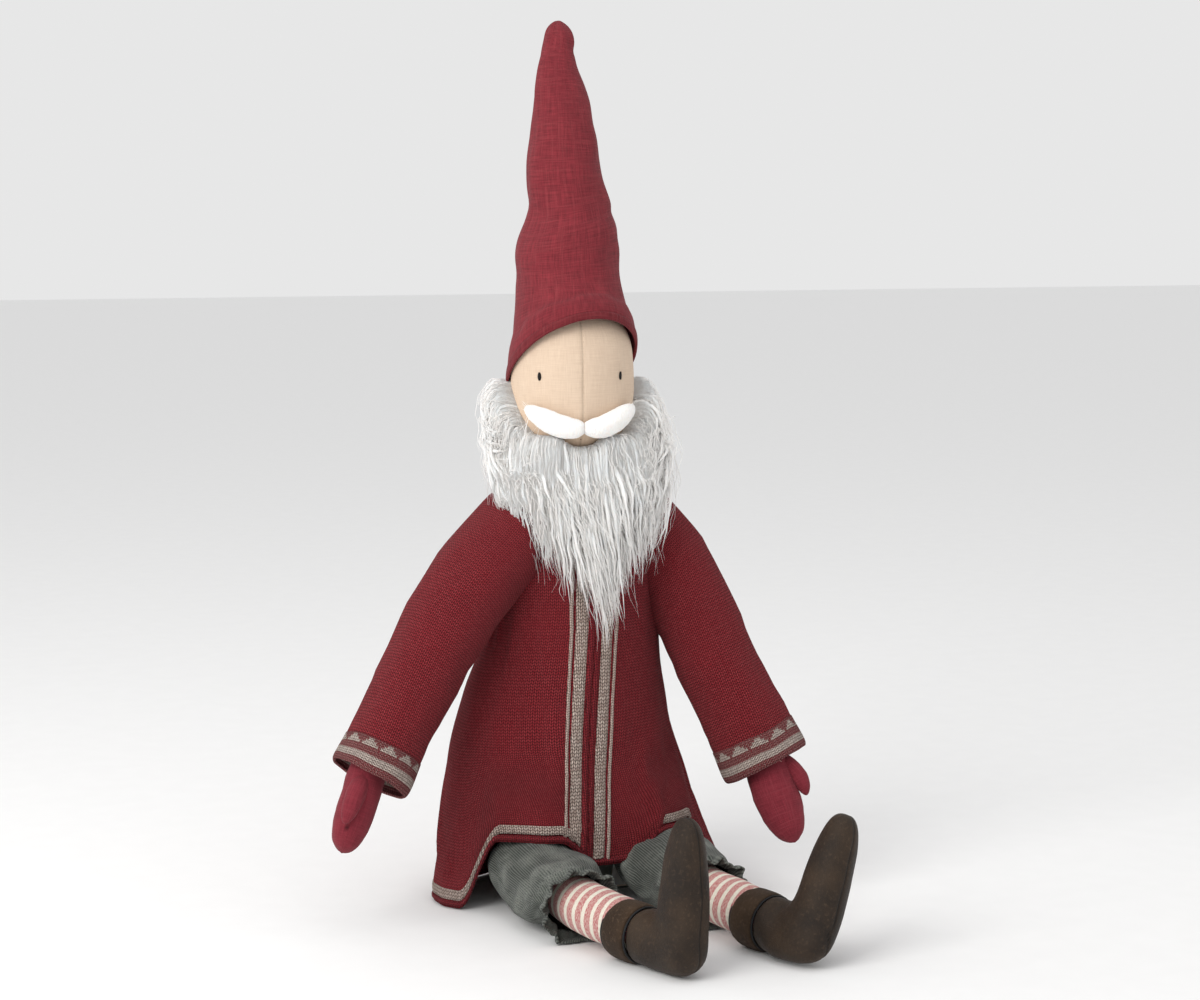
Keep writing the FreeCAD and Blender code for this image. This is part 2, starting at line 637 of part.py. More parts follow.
def limb(name, hip, knee, ankle, short, wall, end):
    """Thigh and shin tubes joined by a round knee, with the wall taken off all round."""
    thigh_length = (knee - hip).Length
    width = "leg_wide + 2 * (%s)" % wall
    thigh_rows = [(end, width + " - 4", width + " - 4", "0"), ("14", width + " + 2", width + " + 2", "0"),
                  ("%f" % thigh_length, width, width, "0")]
    thigh = loft(name + "_thigh", thigh_rows, along(hip, knee - hip))
    shin_rows = [("0", width, width, "0"), ("%f - (%s)" % (short, end), width, width, "0")]
    shin = loft(name + "_shin", shin_rows, along(knee, ankle - knee))
    return fuse(name, [thigh, shin, ball(name + "_knee", width, knee)])


def build_leg(name, side):
    """One stuffed leg in striped cloth, with its trouser leg and boot."""
    hip, knee, ankle = leg_points(name, side)
    junction = (ankle - knee).Length - size("shaft_long")
    outer = limb(name + "_leg_outer", hip, knee, ankle, junction, "0", "0")
    inner = limb(name + "_leg_inner", hip, knee, ankle, junction, "-cloth", "cloth")
    finish(cut(name + "_leg_cover", outer, inner))
    fill = "-cloth - gap / 2"
    finish(limb(name + "_leg_stuffing", hip, knee, ankle, junction, fill, "cloth + gap / 2"))
    place = along(hip, knee - hip)
    rows = [
        ("-8", "trouser_root - 4", "trouser_root - 6", "0"),
        ("14", "trouser_root + 5", "trouser_root + 3", "0"),
        ("0.5 * thigh_long", "puff_wide", "puff_high - 1", "0"),
        ("0.8 * thigh_long", "puff_wide - 7", "puff_high - 8", "0"),
        ("0.95 * thigh_long", "trouser_hem", "trouser_hem - 2", "0"),
        ("0.95 * thigh_long + 9", "trouser_hem + 5", "trouser_hem + 2", "0"),
    ]
    puff = loft(name + "_trouser_outer", rows, place)
    hollow = loft(name + "_trouser_inner", grown(rows, "-cloth", "0.01"), place)
    floor = block(name + "_trouser_floor", -HALF, HALF, -HALF, HALF, -HALF, 0.3)
    leg_room = limb(name + "_leg_room", hip, knee, ankle, junction + 20, "gap + cloth + 0.6", "-20")
    finish(cut(name + "_trouser_leg", puff, hollow, leg_room, floor))
    band = 0.95 * size("thigh_long")
    clip = block(name + "_elastic_block", -HALF, HALF, -HALF, HALF, band - 3, band + 1, place)
    width = "leg_wide + 2 * (gap + cloth + 0.4)"
    rubber_outer = limb(name + "_elastic_outer", hip, knee, ankle, junction + 20, "gap + cloth + 0.2", "-20")
    rubber_inner = limb(name + "_elastic_inner", hip, knee, ankle, junction, "gap / 2", "-gap")
    finish(common(name + "_trouser_elastic", cut(name + "_elastic_ring", rubber_outer, rubber_inner), clip))
    build_boot(name, side, knee, ankle)


def boot_body(name, place, shaft_place, wall):
    """Boot's solid form: upright pointed foot and the shaft that takes the leg."""
    rows = [
        ("-ankle_height + 2", "boot_wide - 15", "boot_deep - 20", "2"),
        ("-ankle_height + 7", "boot_wide - 5", "boot_deep - 7", "2"),
        ("0", "boot_wide + 1", "boot_deep", "0"),
        ("0.42 * boot_high - ankle_height", "boot_wide", "boot_deep - 6", "-2"),
        ("0.66 * boot_high - ankle_height", "boot_wide - 5", "boot_deep - 13", "-4"),
        ("0.85 * boot_high - ankle_height", "boot_wide - 13", "boot_deep - 21", "-3"),
        ("0.96 * boot_high - ankle_height", "boot_wide - 21", "boot_deep - 30", "-1"),
        ("boot_high - ankle_height", "boot_wide - 28.5", "boot_deep - 37", "0"),
    ]
    foot = loft(name + "_foot", grown(rows, wall, wall), place, long_y=True)
    width = "leg_wide + 2 + 2 * (%s)" % wall
    shaft_rows = [("(%s)" % "-shaft_long", width, width, "0"), ("-9", width + " - 6", width + " - 8", "0")]
    shaft = loft(name + "_shaft", shaft_rows, shaft_place)
    return fuse(name, [foot, shaft])


def build_boot(name, side, knee, ankle):
    """Leather boot in two halves, its suede cuff, the cord at the cuff and the filling."""
    heading = ankle - knee
    yaw = math.degrees(math.atan2(heading.x, -heading.y))
    fall = Rotation(Vector(0, 1, 0), size(name + "_toe_fall"))
    place = Placement(ankle, Rotation(Vector(0, 0, 1), yaw).multiply(fall))
    shaft_place = along(ankle, heading)
    outer = boot_body(name + "_boot_outer", place, shaft_place, "0")
    inner = boot_body(name + "_boot_inner", place, shaft_place, "-leather")
    shell = cut(name + "_boot_shell", outer, inner)
    one = block(name + "_boot_left_block", 0, HALF, -HALF, HALF, -HALF, HALF, place)
    two = block(name + "_boot_right_block", -HALF, 0, -HALF, HALF, -HALF, HALF, place)
    start = -size("shaft_long")
    cuff_end = start + size("cuff_long")
    behind = block(name + "_boot_behind", -HALF, HALF, -HALF, HALF, -HALF, cuff_end + 2.2, shaft_place)
    body = cut(name + "_boot_leather", shell, behind)
    finish(common(name + "_boot_left_half", body, one))
    finish(common(name + "_boot_right_half", body, two))
    tube = cut(name + "_boot_tube", outer, inner)
    cuff = block(name + "_cuff_strip", -HALF, HALF, -HALF, HALF, start, cuff_end, shaft_place)
    finish(common(name + "_boot_cuff", tube, cuff))
    cord = add("Part::Torus", name + "_boot_cord")
    bind(cord, "Radius1", "leg_wide / 2 - 0.1")
    bind(cord, "Radius2", "cord_thick / 2")
    cord.Placement = shaft_place.multiply(Placement(Vector(0, 0, cuff_end + 1.1), Rotation()))
    finish(cord)
    filling = boot_body(name + "_boot_fill", place, shaft_place, "-leather - gap / 2")
    back = block(name + "_boot_open", -HALF, HALF, -HALF, HALF, -HALF, start + 0.4, shaft_place)
    room = add("Part::Torus", name + "_cord_room")
    room.Radius1 = size("leg_wide") / 2 - 0.1
    room.Radius2 = size("cord_thick") / 2 + 0.2
    room.Placement = cord.Placement
    finish(cut(name + "_boot_stuffing", filling, back, room))


build_body()
build_trousers_seat()
build_head()
build_hair()
build_hat()
build_jacket()
build_arm("left", 1)
build_arm("right", -1)
build_leg("left", 1)
build_leg("right", -1)
doc.recompute()

broken = []
for thing in doc.Objects:
    if "Invalid" in thing.State or "Error" in thing.State:
        broken.append(thing.Label)
for node in nodes:
    shape = node.Shape
    if shape.isNull() or not shape.isValid() or shape.Volume <= 0:
        broken.append(node.Label)
if broken:
    raise RuntimeError("not built: " + ", ".join(broken))

os.makedirs("parts", exist_ok=True)
for node in nodes:
    node.Shape.exportStep("parts/%s.step" % node.Label)
    box = node.Shape.BoundBox
    print("%-22s solids %d  x %6.1f %6.1f  y %6.1f %6.1f  z %6.1f %6.1f" % (
        node.Label, len(node.Shape.Solids), box.XMin, box.XMax, box.YMin, box.YMax, box.ZMin, box.ZMax))
print("sub-parts:", len(nodes))
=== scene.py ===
# %% [markdown]
# # A seated cloth gnome, dressed in knit, linen, corduroy and leather
# This lesson builds the looks of a stuffed doll around a fixed frame of plain solids.
# The frame says where each piece sits and which body it moves with.
# Cloth is modelled as cloth: rings of vertices are bridged to tubes, then inflated or draped.

# %% Load the frame
import json
import math
import random

import bmesh
import bpy
from mathutils import Matrix, Vector, noise
from mathutils.bvhtree import BVHTree


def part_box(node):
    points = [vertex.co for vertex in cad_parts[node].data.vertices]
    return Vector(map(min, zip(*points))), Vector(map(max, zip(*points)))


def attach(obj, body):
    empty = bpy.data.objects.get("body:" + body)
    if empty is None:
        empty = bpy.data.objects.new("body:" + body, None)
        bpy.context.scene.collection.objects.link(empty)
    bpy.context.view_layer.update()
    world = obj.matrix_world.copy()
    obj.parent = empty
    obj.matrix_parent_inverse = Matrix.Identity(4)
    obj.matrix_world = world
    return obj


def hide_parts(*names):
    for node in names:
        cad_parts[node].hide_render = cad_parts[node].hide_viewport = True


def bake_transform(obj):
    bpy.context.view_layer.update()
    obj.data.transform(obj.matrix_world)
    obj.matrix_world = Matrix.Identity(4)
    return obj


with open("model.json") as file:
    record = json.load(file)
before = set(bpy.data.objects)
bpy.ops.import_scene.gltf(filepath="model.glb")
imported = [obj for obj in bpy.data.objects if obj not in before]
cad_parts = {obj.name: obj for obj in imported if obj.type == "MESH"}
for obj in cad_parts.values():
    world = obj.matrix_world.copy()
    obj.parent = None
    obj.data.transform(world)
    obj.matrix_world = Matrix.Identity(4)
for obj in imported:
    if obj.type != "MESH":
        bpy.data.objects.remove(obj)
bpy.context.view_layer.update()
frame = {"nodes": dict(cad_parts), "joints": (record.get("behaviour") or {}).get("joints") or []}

# %% [markdown]
# ## Small tools
# Lengths on a doll are easier to read in millimetres, so `MM` turns them to metres.
# A cloth tube starts as a stack of circles in edit mode, and `bridge_edge_loops` joins them.
# Loft add-ons exist, but bridged circles keep an even grid, and an even grid carries a knit.

# %% Units, joints and places read from the frame
MM = 0.001
KNIT_THICK = 2.2
CORDUROY_THICK = 1.1
LINEN_THICK = 1.1
SUEDE_THICK = 1.2
TORSO = "torso"
SIDES = {"left": 1, "right": -1}
JOINT = {joint["name"]: Vector(joint["pos_m"]) for joint in frame["joints"]}


def middle(node):
    low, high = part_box(node)
    return (Vector(low) + Vector(high)) / 2


def deselect():
    bpy.ops.object.select_all(action="DESELECT")


def only(piece):
    deselect()
    piece.select_set(True)
    bpy.context.view_layer.objects.active = piece


deselect()
print("joints:", {name: [round(v, 4) for v in spot] for name, spot in JOINT.items()})

# %% A tube from a stack of circles
def ring(centre, across, up, half_across, half_up):
    """One circle: `across` and `up` span its plane, in millimetres."""
    return (Vector(centre), Vector(across).normalized(), Vector(up).normalized(), half_across, half_up)


def flat_ring(x, y, z, half_x, half_y, tilt=0.0, sideways=0.0):
    """A level circle, tilted back about X and sideways about Y in degrees."""
    turn = Matrix.Rotation(math.radians(sideways), 3, "Y") @ Matrix.Rotation(math.radians(-tilt), 3, "X")
    return ring((x, y, z), turn @ Vector((1, 0, 0)), turn @ Vector((0, 1, 0)), half_x, half_y)


def tube(name, rings, sides=24, closed=(False, False), smooth=2, middle_turn=None):
    """Circles bridged one after another, with UVs in metres: u round the tube, v along it.

    With `middle_turn`, a share of a turn, threads run straight from there and end at a seam opposite.
    """
    deselect()
    bpy.ops.mesh.primitive_circle_add(vertices=3, radius=MM)
    piece = bpy.context.object
    piece.name = name
    piece.data.name = name
    bpy.ops.object.mode_set(mode="EDIT")
    bpy.ops.mesh.select_all(action="SELECT")
    bpy.ops.mesh.delete(type="VERT")
    for centre, across, up, half_across, half_up in rings:
        bpy.ops.mesh.primitive_circle_add(vertices=sides, radius=half_across * MM, location=centre * MM)
    bpy.ops.object.mode_set(mode="OBJECT")
    for vertex in piece.data.vertices:
        centre, across, up, half_across, half_up = rings[vertex.index // sides]
        turn = 2 * math.pi * (vertex.index % sides) / sides
        vertex.co = (centre + across * math.cos(turn) * half_across + up * math.sin(turn) * half_up) * MM
    only(piece)
    bpy.ops.object.mode_set(mode="EDIT")
    bpy.ops.mesh.select_all(action="SELECT")
    bpy.ops.mesh.bridge_edge_loops()
    bpy.ops.object.mode_set(mode="OBJECT")
    mesh = piece.data
    for end, index in ((closed[0], 0), (closed[1], len(rings) - 1)):
        if end:
            cap = bmesh.new()
            cap.from_mesh(mesh)
            cap.verts.ensure_lookup_table()
            cap.faces.new([cap.verts[index * sides + step] for step in range(sides)])
            cap.to_mesh(mesh)
            cap.free()
    along = [0.0]
    for before, after in zip(rings, rings[1:]):
        along.append(along[-1] + (after[0] - before[0]).length * MM)
    girths = [math.pi * (one[3] + one[4]) * MM for one in rings]
    mean = sum(girths) / len(girths)
    shift = 0.0 if middle_turn is None else (middle_turn - 0.5) * sides
    uv = mesh.uv_layers.new(name="cloth")
    for face in mesh.polygons:
        places = [mesh.loops[loop].vertex_index for loop in face.loop_indices]
        steps = [(vertex % sides - shift) % sides for vertex in places]
        wraps = len(places) == 4 and max(steps) - min(steps) > sides / 2
        for loop, vertex, step in zip(face.loop_indices, places, steps):
            if wraps and step < sides / 2:
                step += sides
            row = vertex // sides
            girth = mean if middle_turn is None else girths[row]
            uv.data[loop].uv = ((step / sides - 0.5) * girth, along[row])
    only(piece)
    bpy.ops.object.mode_set(mode="EDIT")
    bpy.ops.mesh.select_all(action="SELECT")
    bpy.ops.mesh.normals_make_consistent(inside=False)
    bpy.ops.object.mode_set(mode="OBJECT")
    if smooth:
        finish_with(piece, "SUBSURF", levels=smooth, render_levels=smooth)
    bpy.ops.object.shade_smooth()
    return piece


def finish_with(piece, kind, **settings):
    """Add a modifier, set it up and apply it."""
    only(piece)
    modifier = piece.modifiers.new(kind.title(), kind)
    for key, value in settings.items():
        setattr(modifier, key, value)
    bpy.ops.object.modifier_apply(modifier=modifier.name)


def move_points(piece, rule):
    """Move every vertex by a rule that takes and gives millimetres."""
    for vertex in piece.data.vertices:
        vertex.co = rule(vertex.co / MM) * MM
    piece.data.update()


def wall(piece, thickness):
    """Give a skin its thickness, inwards, with a rounded rim."""
    finish_with(piece, "SOLIDIFY", thickness=thickness * MM, offset=-1, use_rim=True)


def smoothstep(low, high, value):
    share = min(max((value - low) / (high - low), 0.0), 1.0)
    return share * share * (3 - 2 * share)


def grain(point, scale, seed=0.0):
    """Smooth noise between -1 and 1 for a point in millimetres."""
    return noise.noise(Vector(point) / scale + Vector((seed, seed * 1.7, -seed)))


def uneven(scale, seeds, amount):
    """A rule for move_points: noise along X, Y and Z by a seed each, or none where the seed is None."""
    def rule(point):
        return point + Vector([0 if seed is None else grain(point, scale, seed) for seed in seeds]) * amount
    return rule


# %% [markdown]
# ## Inflating stuffed pieces
# A stuffed limb is a closed bag under pressure. Blender's cloth can blow a mesh up and let it
# wrinkle where it is gathered. The ends stay pinned, and no point may move further than a cap,
# so that the piece keeps the size that the frame gives it. Where the cloth goes past the cap, as it
# does at the hat's tip, only the direction of its move is kept, so this adds unevenness and no real sag.

# %% Cloth under pressure
def inflate(piece, pressure, shrink, cap, pinned, frames=14, stiffness=12, gravity=0.0):
    """Run cloth on the piece; `pinned` says which points (in millimetres) stay, `cap` is in millimetres."""
    before = [vertex.co.copy() for vertex in piece.data.vertices]
    group = piece.vertex_groups.new(name="pinned")
    group.add([v.index for v in piece.data.vertices if pinned(v.co / MM)], 1.0, "REPLACE")
    only(piece)
    modifier = piece.modifiers.new("Cloth", "CLOTH")
    cloth = modifier.settings
    cloth.quality = 5
    cloth.mass = 0.15
    cloth.tension_stiffness = stiffness
    cloth.compression_stiffness = stiffness
    cloth.shear_stiffness = stiffness / 2
    cloth.bending_stiffness = 0.4
    cloth.use_pressure = pressure > 0
    cloth.uniform_pressure_force = pressure
    cloth.shrink_min = shrink
    cloth.vertex_group_mass = "pinned"
    cloth.effector_weights.gravity = gravity
    modifier.collision_settings.use_collision = False
    modifier.point_cache.frame_start = 1
    modifier.point_cache.frame_end = frames
    for step in range(1, frames + 1):
        bpy.context.scene.frame_set(step)
    bpy.ops.object.modifier_apply(modifier=modifier.name)
    bpy.context.scene.frame_set(1)
    furthest = 0.0
    for vertex, start in zip(piece.data.vertices, before):
        moved = vertex.co - start
        furthest = max(furthest, moved.length)
        if moved.length > cap * MM:
            vertex.co = start + moved * (cap * MM / moved.length)
    piece.vertex_groups.clear()
    print(piece.name, "moved up to", round(furthest / MM, 1), "mm before the cap of", cap)


# %% [markdown]
# ## Camera, light and floor
# A product picture: pale floor, one big soft light from the gnome's right, a weak one overhead,
# and a pale surround. The camera stands a little to the gnome's right and looks slightly down.

# %% Camera
CAMERA_TURN = math.radians(24)
CAMERA_PITCH = 6.445
CAMERA_AWAY = 1900
CAMERA_HEIGHT = 522
CAMERA_ASIDE = 20
LENS = 73.83
SENSOR = 36.0
ahead = Vector((math.sin(CAMERA_TURN), math.cos(CAMERA_TURN), 0))
aside = Vector((math.cos(CAMERA_TURN), -math.sin(CAMERA_TURN), 0))
spot = (aside * CAMERA_ASIDE - ahead * CAMERA_AWAY + Vector((0, 0, CAMERA_HEIGHT))) * MM
camera_data = bpy.data.cameras.new("camera")
camera_data.lens = LENS
camera_data.sensor_width = SENSOR
camera = bpy.data.objects.new("camera", camera_data)
camera.location = spot
camera.rotation_euler = (math.radians(90 - CAMERA_PITCH), 0, -CAMERA_TURN)
bpy.context.scene.collection.objects.link(camera)
bpy.context.scene.camera = camera
print("camera at", [round(v, 3) for v in spot])

# %% Lights, surround and floor
def soft_light(name, towards, away, width, power, warmth):
    """A square light that looks at the chest from a direction."""
    light = bpy.data.lights.new(name, "AREA")
    light.size = width
    light.energy = power
    light.color = warmth
    lamp = bpy.data.objects.new(name, light)
    direction = Vector(towards).normalized()
    lamp.location = Vector((0, 0, 0.3)) + direction * away
    lamp.rotation_euler = direction.to_track_quat("Z", "Y").to_euler()
    bpy.context.scene.collection.objects.link(lamp)


soft_light("key_light", (-1.5, -0.75, 0.95), 2.2, 1.3, 27, (1.0, 0.985, 0.96))
soft_light("top_light", (-0.1, -0.2, 1.0), 2.2, 1.8, 7, (1.0, 1.0, 1.0))
world = bpy.data.worlds.new("studio")
world.use_nodes = True
world.node_tree.nodes["Background"].inputs["Color"].default_value = (1.0, 1.0, 1.0, 1)
world.node_tree.nodes["Background"].inputs["Strength"].default_value = 0.80
bpy.context.scene.world = world
bpy.context.scene.view_settings.view_transform = "Standard"
deselect()
bpy.ops.mesh.primitive_plane_add(size=30, location=(0, 0, 0))
floor = bpy.context.object
floor.name = "floor"

# %% [markdown]
# ## Finishes
# Every cloth here is a small recipe of nodes. Patterns that follow a thread read the piece's own
# UV map, which is in metres, so that a stitch has the same size on a sleeve and on the body.
# Patterns with no direction, such as nubuck, read Object coordinates.

# %% Node helpers
def recipe(name, roughness=0.9, sheen=0.0, specular=0.5):
    """A new material; gives its node tree and its shader node."""
    material = bpy.data.materials.new(name)
    material.use_nodes = True
    tree = material.node_tree
    shader = tree.nodes["Principled BSDF"]
    shader.inputs["Roughness"].default_value = roughness
    shader.inputs["Sheen Weight"].default_value = sheen
    shader.inputs["Sheen Roughness"].default_value = 0.5
    shader.inputs["Specular IOR Level"].default_value = specular
    return material, tree, shader


def put(tree, kind, settings=None, **inputs):
    """Add a node; inputs are numbers, colours or other nodes' sockets, by name or _index."""
    node = tree.nodes.new(kind)
    for key, value in (settings or {}).items():
        setattr(node, key, value)
    for key, value in inputs.items():
        socket = node.inputs[int(key[1:])] if key[0] == "_" else node.inputs[key]
        if isinstance(value, bpy.types.NodeSocket):
            tree.links.new(value, socket)
        else:
            socket.default_value = value
    return node


def calc(tree, operation, one, two=0.0):
    """One math node."""
    return put(tree, "ShaderNodeMath", {"operation": operation}, _0=one, _1=two).outputs[0]


def blend_colour(tree, share, one, two):
    """Mix two colours, or colour sockets, by a share."""
    node = put(tree, "ShaderNodeMix", {"data_type": "RGBA"}, _0=share)
    for socket, value in ((node.inputs[6], one), (node.inputs[7], two)):
        if isinstance(value, bpy.types.NodeSocket):
            tree.links.new(value, socket)
        else:
            socket.default_value = (*value, 1)
    return node.outputs[2]


def speckle(tree, vector, scale, detail=2.0, low=0.35, high=0.65):
    """Noise stretched to run from 0 to 1 between two levels."""
    texture = put(tree, "ShaderNodeTexNoise", Vector=vector, Scale=scale, Detail=detail)
    ramp = put(tree, "ShaderNodeMapRange", _0=texture.outputs["Fac"], _1=low, _2=high)
    return ramp.outputs[0]


def stretched(tree, vector, x, y, z=1.0):
    """Coordinates multiplied by three numbers."""
    return put(tree, "ShaderNodeMapping", Vector=vector, Scale=(x, y, z)).outputs[0]


def cloth_map(tree):
    return put(tree, "ShaderNodeUVMap", {"uv_map": "cloth"}).outputs[0]


def object_map(tree):
    return put(tree, "ShaderNodeTexCoord").outputs["Object"]


def relief(tree, shader, height, depth, strength=1.0):
    """Bump of a real depth in millimetres."""
    bump = put(tree, "ShaderNodeBump", Height=height, Distance=depth * MM, Strength=strength)
    tree.links.new(bump.outputs[0], shader.inputs["Normal"])


# %% Stocking stitch
WALE = 3.0
COURSE = 2.3


def stitch_height(tree, uv, wale, course):
    """Rows of V shapes: gives the yarn's height and a random value per stitch leg."""
    split = put(tree, "ShaderNodeSeparateXYZ", Vector=uv)
    across = calc(tree, "DIVIDE", split.outputs[0], wale * MM)
    up = calc(tree, "DIVIDE", split.outputs[1], course * MM)
    centred = calc(tree, "SUBTRACT", calc(tree, "FRACT", across), 0.5)
    side = calc(tree, "MULTIPLY", calc(tree, "ABSOLUTE", centred), 2.0)
    slanted = calc(tree, "ADD", up, calc(tree, "MULTIPLY", side, 0.65))
    leg = calc(tree, "SUBTRACT", calc(tree, "MULTIPLY", side, 2.0), 1.0)
    turn = calc(tree, "SUBTRACT", calc(tree, "MULTIPLY", calc(tree, "FRACT", slanted), 2.0), 1.0)
    round_leg = calc(tree, "SUBTRACT", 1.0, calc(tree, "MULTIPLY", leg, leg))
    round_turn = calc(tree, "SUBTRACT", 1.0, calc(tree, "MULTIPLY", turn, turn))
    height = calc(tree, "POWER", calc(tree, "MULTIPLY", round_leg, round_turn), 0.5)
    cell = put(tree, "ShaderNodeCombineXYZ", X=calc(tree, "FLOOR", calc(tree, "MULTIPLY", across, 2.0)),
               Y=calc(tree, "FLOOR", slanted)).outputs[0]
    chance = put(tree, "ShaderNodeTexWhiteNoise", {"noise_dimensions": "2D"}, Vector=cell).outputs[0]
    return height, chance


def knit(name, dark, base, light, wale=WALE, course=COURSE, depth=0.8, fleck=0.5):
    """Heathered wool in stocking stitch."""
    material, tree, shader = recipe(name, 0.95, 0.04, 0.1)
    uv = cloth_map(tree)
    wobble = put(tree, "ShaderNodeTexNoise", Vector=uv, Scale=160.0, Detail=1.0).outputs["Color"]
    shift = put(tree, "ShaderNodeVectorMath", {"operation": "MULTIPLY_ADD"}, _0=wobble, _1=(0.0012,) * 3,
                _2=uv)
    height, chance = stitch_height(tree, shift.outputs[0], wale, course)
    fibres = speckle(tree, stretched(tree, uv, 900, 2200), 1.0, 2.0, 0.4, 0.62)
    heather = blend_colour(tree, calc(tree, "MULTIPLY", chance, fleck), base, light)
    heather = blend_colour(tree, calc(tree, "MULTIPLY", fibres, 0.45), heather, light)
    shade = put(tree, "ShaderNodeMapRange", _0=height, _1=0.3, _2=0.92).outputs[0]
    colour = blend_colour(tree, shade, dark, heather)
    broad = speckle(tree, uv, 18.0, 2.0, 0.3, 0.7)
    colour = blend_colour(tree, calc(tree, "MULTIPLY", broad, 0.25), colour, base)
    tree.links.new(colour, shader.inputs["Base Color"])
    relief(tree, shader, calc(tree, "ADD", height, calc(tree, "MULTIPLY", fibres, 0.35)), depth)
    return material


red_knit = knit("red_knit", (0.016, 0.0010, 0.002), (0.255, 0.016, 0.025), (0.42, 0.062, 0.070))
rib_red = knit("rib_red", (0.02, 0.0015, 0.003), (0.22, 0.014, 0.022), (0.38, 0.05, 0.06), 3.0, 2.0, 1.0)
cream_knit = knit("cream_knit", (0.10, 0.05, 0.042), (0.58, 0.44, 0.38), (0.82, 0.70, 0.62),
                  2.4, 1.9, 0.9, 0.8)
moss_knit = knit("moss_knit", (0.035, 0.018, 0.014), (0.44, 0.32, 0.27), (0.86, 0.72, 0.64),
                 3.1, 2.6, 1.1, 1.0)
print("knit finishes:", red_knit.name, rib_red.name, cream_knit.name, moss_knit.name)

# %% Sewn seams: a darker line where a piece carries the attribute "seam"
def seam_shade(tree, colour, shadow):
    seam = put(tree, "ShaderNodeAttribute", {"attribute_name": "seam"}).outputs["Fac"]
    return blend_colour(tree, calc(tree, "MULTIPLY", seam, 0.85), colour, shadow)


def mark_seam(piece, share_at):
    """Store how near each point is to a seam, from 0 to 1."""
    layer = piece.data.attributes.new("seam", "FLOAT", "POINT")
    for vertex in piece.data.vertices:
        layer.data[vertex.index].value = share_at(vertex.co / MM)


# %% Plain weaves: linen and cotton
def weave(name, dark, base, light, thread, slub, depth, roughness=0.9, sheen=0.1, uses_uv=True):
    """Crossing threads of a pitch in millimetres, with thicker slubs along both directions."""
    material, tree, shader = recipe(name, roughness, sheen, 0.25)
    spot = cloth_map(tree) if uses_uv else object_map(tree)
    per_metre = 1 / (thread * MM)
    across = stretched(tree, spot, per_metre * 0.05, per_metre, per_metre * 0.3)
    weft = speckle(tree, across, 1.0, 2.0, 0.3, 0.7)
    along = stretched(tree, spot, per_metre, per_metre * 0.05, per_metre * 0.3)
    warp = speckle(tree, along, 1.0, 2.0, 0.3, 0.7)
    thick = speckle(tree, stretched(tree, spot, per_metre * 0.02, per_metre * 0.35), 1.0, 3.0, 0.5, 0.72)
    tall = speckle(tree, stretched(tree, spot, per_metre * 0.35, per_metre * 0.02), 1.0, 3.0, 0.5, 0.72)
    threads = calc(tree, "MULTIPLY", calc(tree, "ADD", weft, warp), 0.5)
    slubs = calc(tree, "MULTIPLY", calc(tree, "MAXIMUM", thick, tall), slub)
    broad = speckle(tree, spot, 25.0, 3.0, 0.3, 0.7)
    colour = blend_colour(tree, threads, dark, base)
    colour = blend_colour(tree, slubs, colour, light)
    colour = blend_colour(tree, calc(tree, "MULTIPLY", broad, 0.18), colour, dark)
    tree.links.new(seam_shade(tree, colour, tuple(value * 0.25 for value in dark)),
                   shader.inputs["Base Color"])
    relief(tree, shader, calc(tree, "ADD", threads, slubs), depth)
    return material


hat_linen = weave("hat_linen", (0.100, 0.010, 0.015), (0.27, 0.029, 0.040), (0.36, 0.07, 0.075),
                  0.8, 0.2, 0.3, 0.9, 0.05)
# A darker copy of the hat's linen: painted shade on the turned hem.
shaded_hem_linen = weave("shaded_hem_linen", (0.09, 0.008, 0.012), (0.21, 0.022, 0.030), (0.30, 0.06, 0.065),
                  0.8, 0.4, 0.3, 0.9, 0.05)
face_cotton = weave("face_cotton", (0.60, 0.455, 0.34), (0.73, 0.58, 0.445), (0.78, 0.64, 0.51),
                    0.6, 0.12, 0.12, 0.9, 0.05)
mitten_cotton = weave("mitten_cotton", (0.125, 0.012, 0.020), (0.245, 0.026, 0.040), (0.31, 0.055, 0.07),
                      0.6, 0.25, 0.18, 0.9, 0.05)
body_cotton = weave("body_cotton", (0.62, 0.52, 0.42), (0.74, 0.64, 0.53), (0.8, 0.72, 0.62),
                    0.6, 0.4, 0.15, 0.9, 0.1, False)

# %% Needlecord: fine ribs that run along the leg
def needlecord(name, dark, base, light, pitch):
    material, tree, shader = recipe(name, 0.9, 0.12, 0.15)
    uv = cloth_map(tree)
    across = put(tree, "ShaderNodeSeparateXYZ", Vector=uv).outputs[0]
    wave = calc(tree, "SINE", calc(tree, "MULTIPLY", across, 2 * math.pi / (pitch * MM)))
    rib = calc(tree, "ADD", calc(tree, "MULTIPLY", wave, 0.5), 0.5)
    pile = speckle(tree, stretched(tree, uv, 700, 1600), 1.0, 3.0, 0.35, 0.65)
    worn = speckle(tree, object_map(tree), 45.0, 3.0, 0.45, 0.72)
    # Painted shade: the valleys between the ribs take the dark colour.
    colour = blend_colour(tree, rib, dark, base)
    rubbed = calc(tree, "MULTIPLY", calc(tree, "MULTIPLY", pile, worn), 0.9)
    colour = blend_colour(tree, rubbed, colour, light)
    tree.links.new(colour, shader.inputs["Base Color"])
    relief(tree, shader, calc(tree, "ADD", rib, calc(tree, "MULTIPLY", pile, 0.4)), 0.35)
    return material


corduroy = needlecord("corduroy", (0.022, 0.026, 0.023), (0.125, 0.135, 0.120), (0.27, 0.285, 0.255), 1.9)

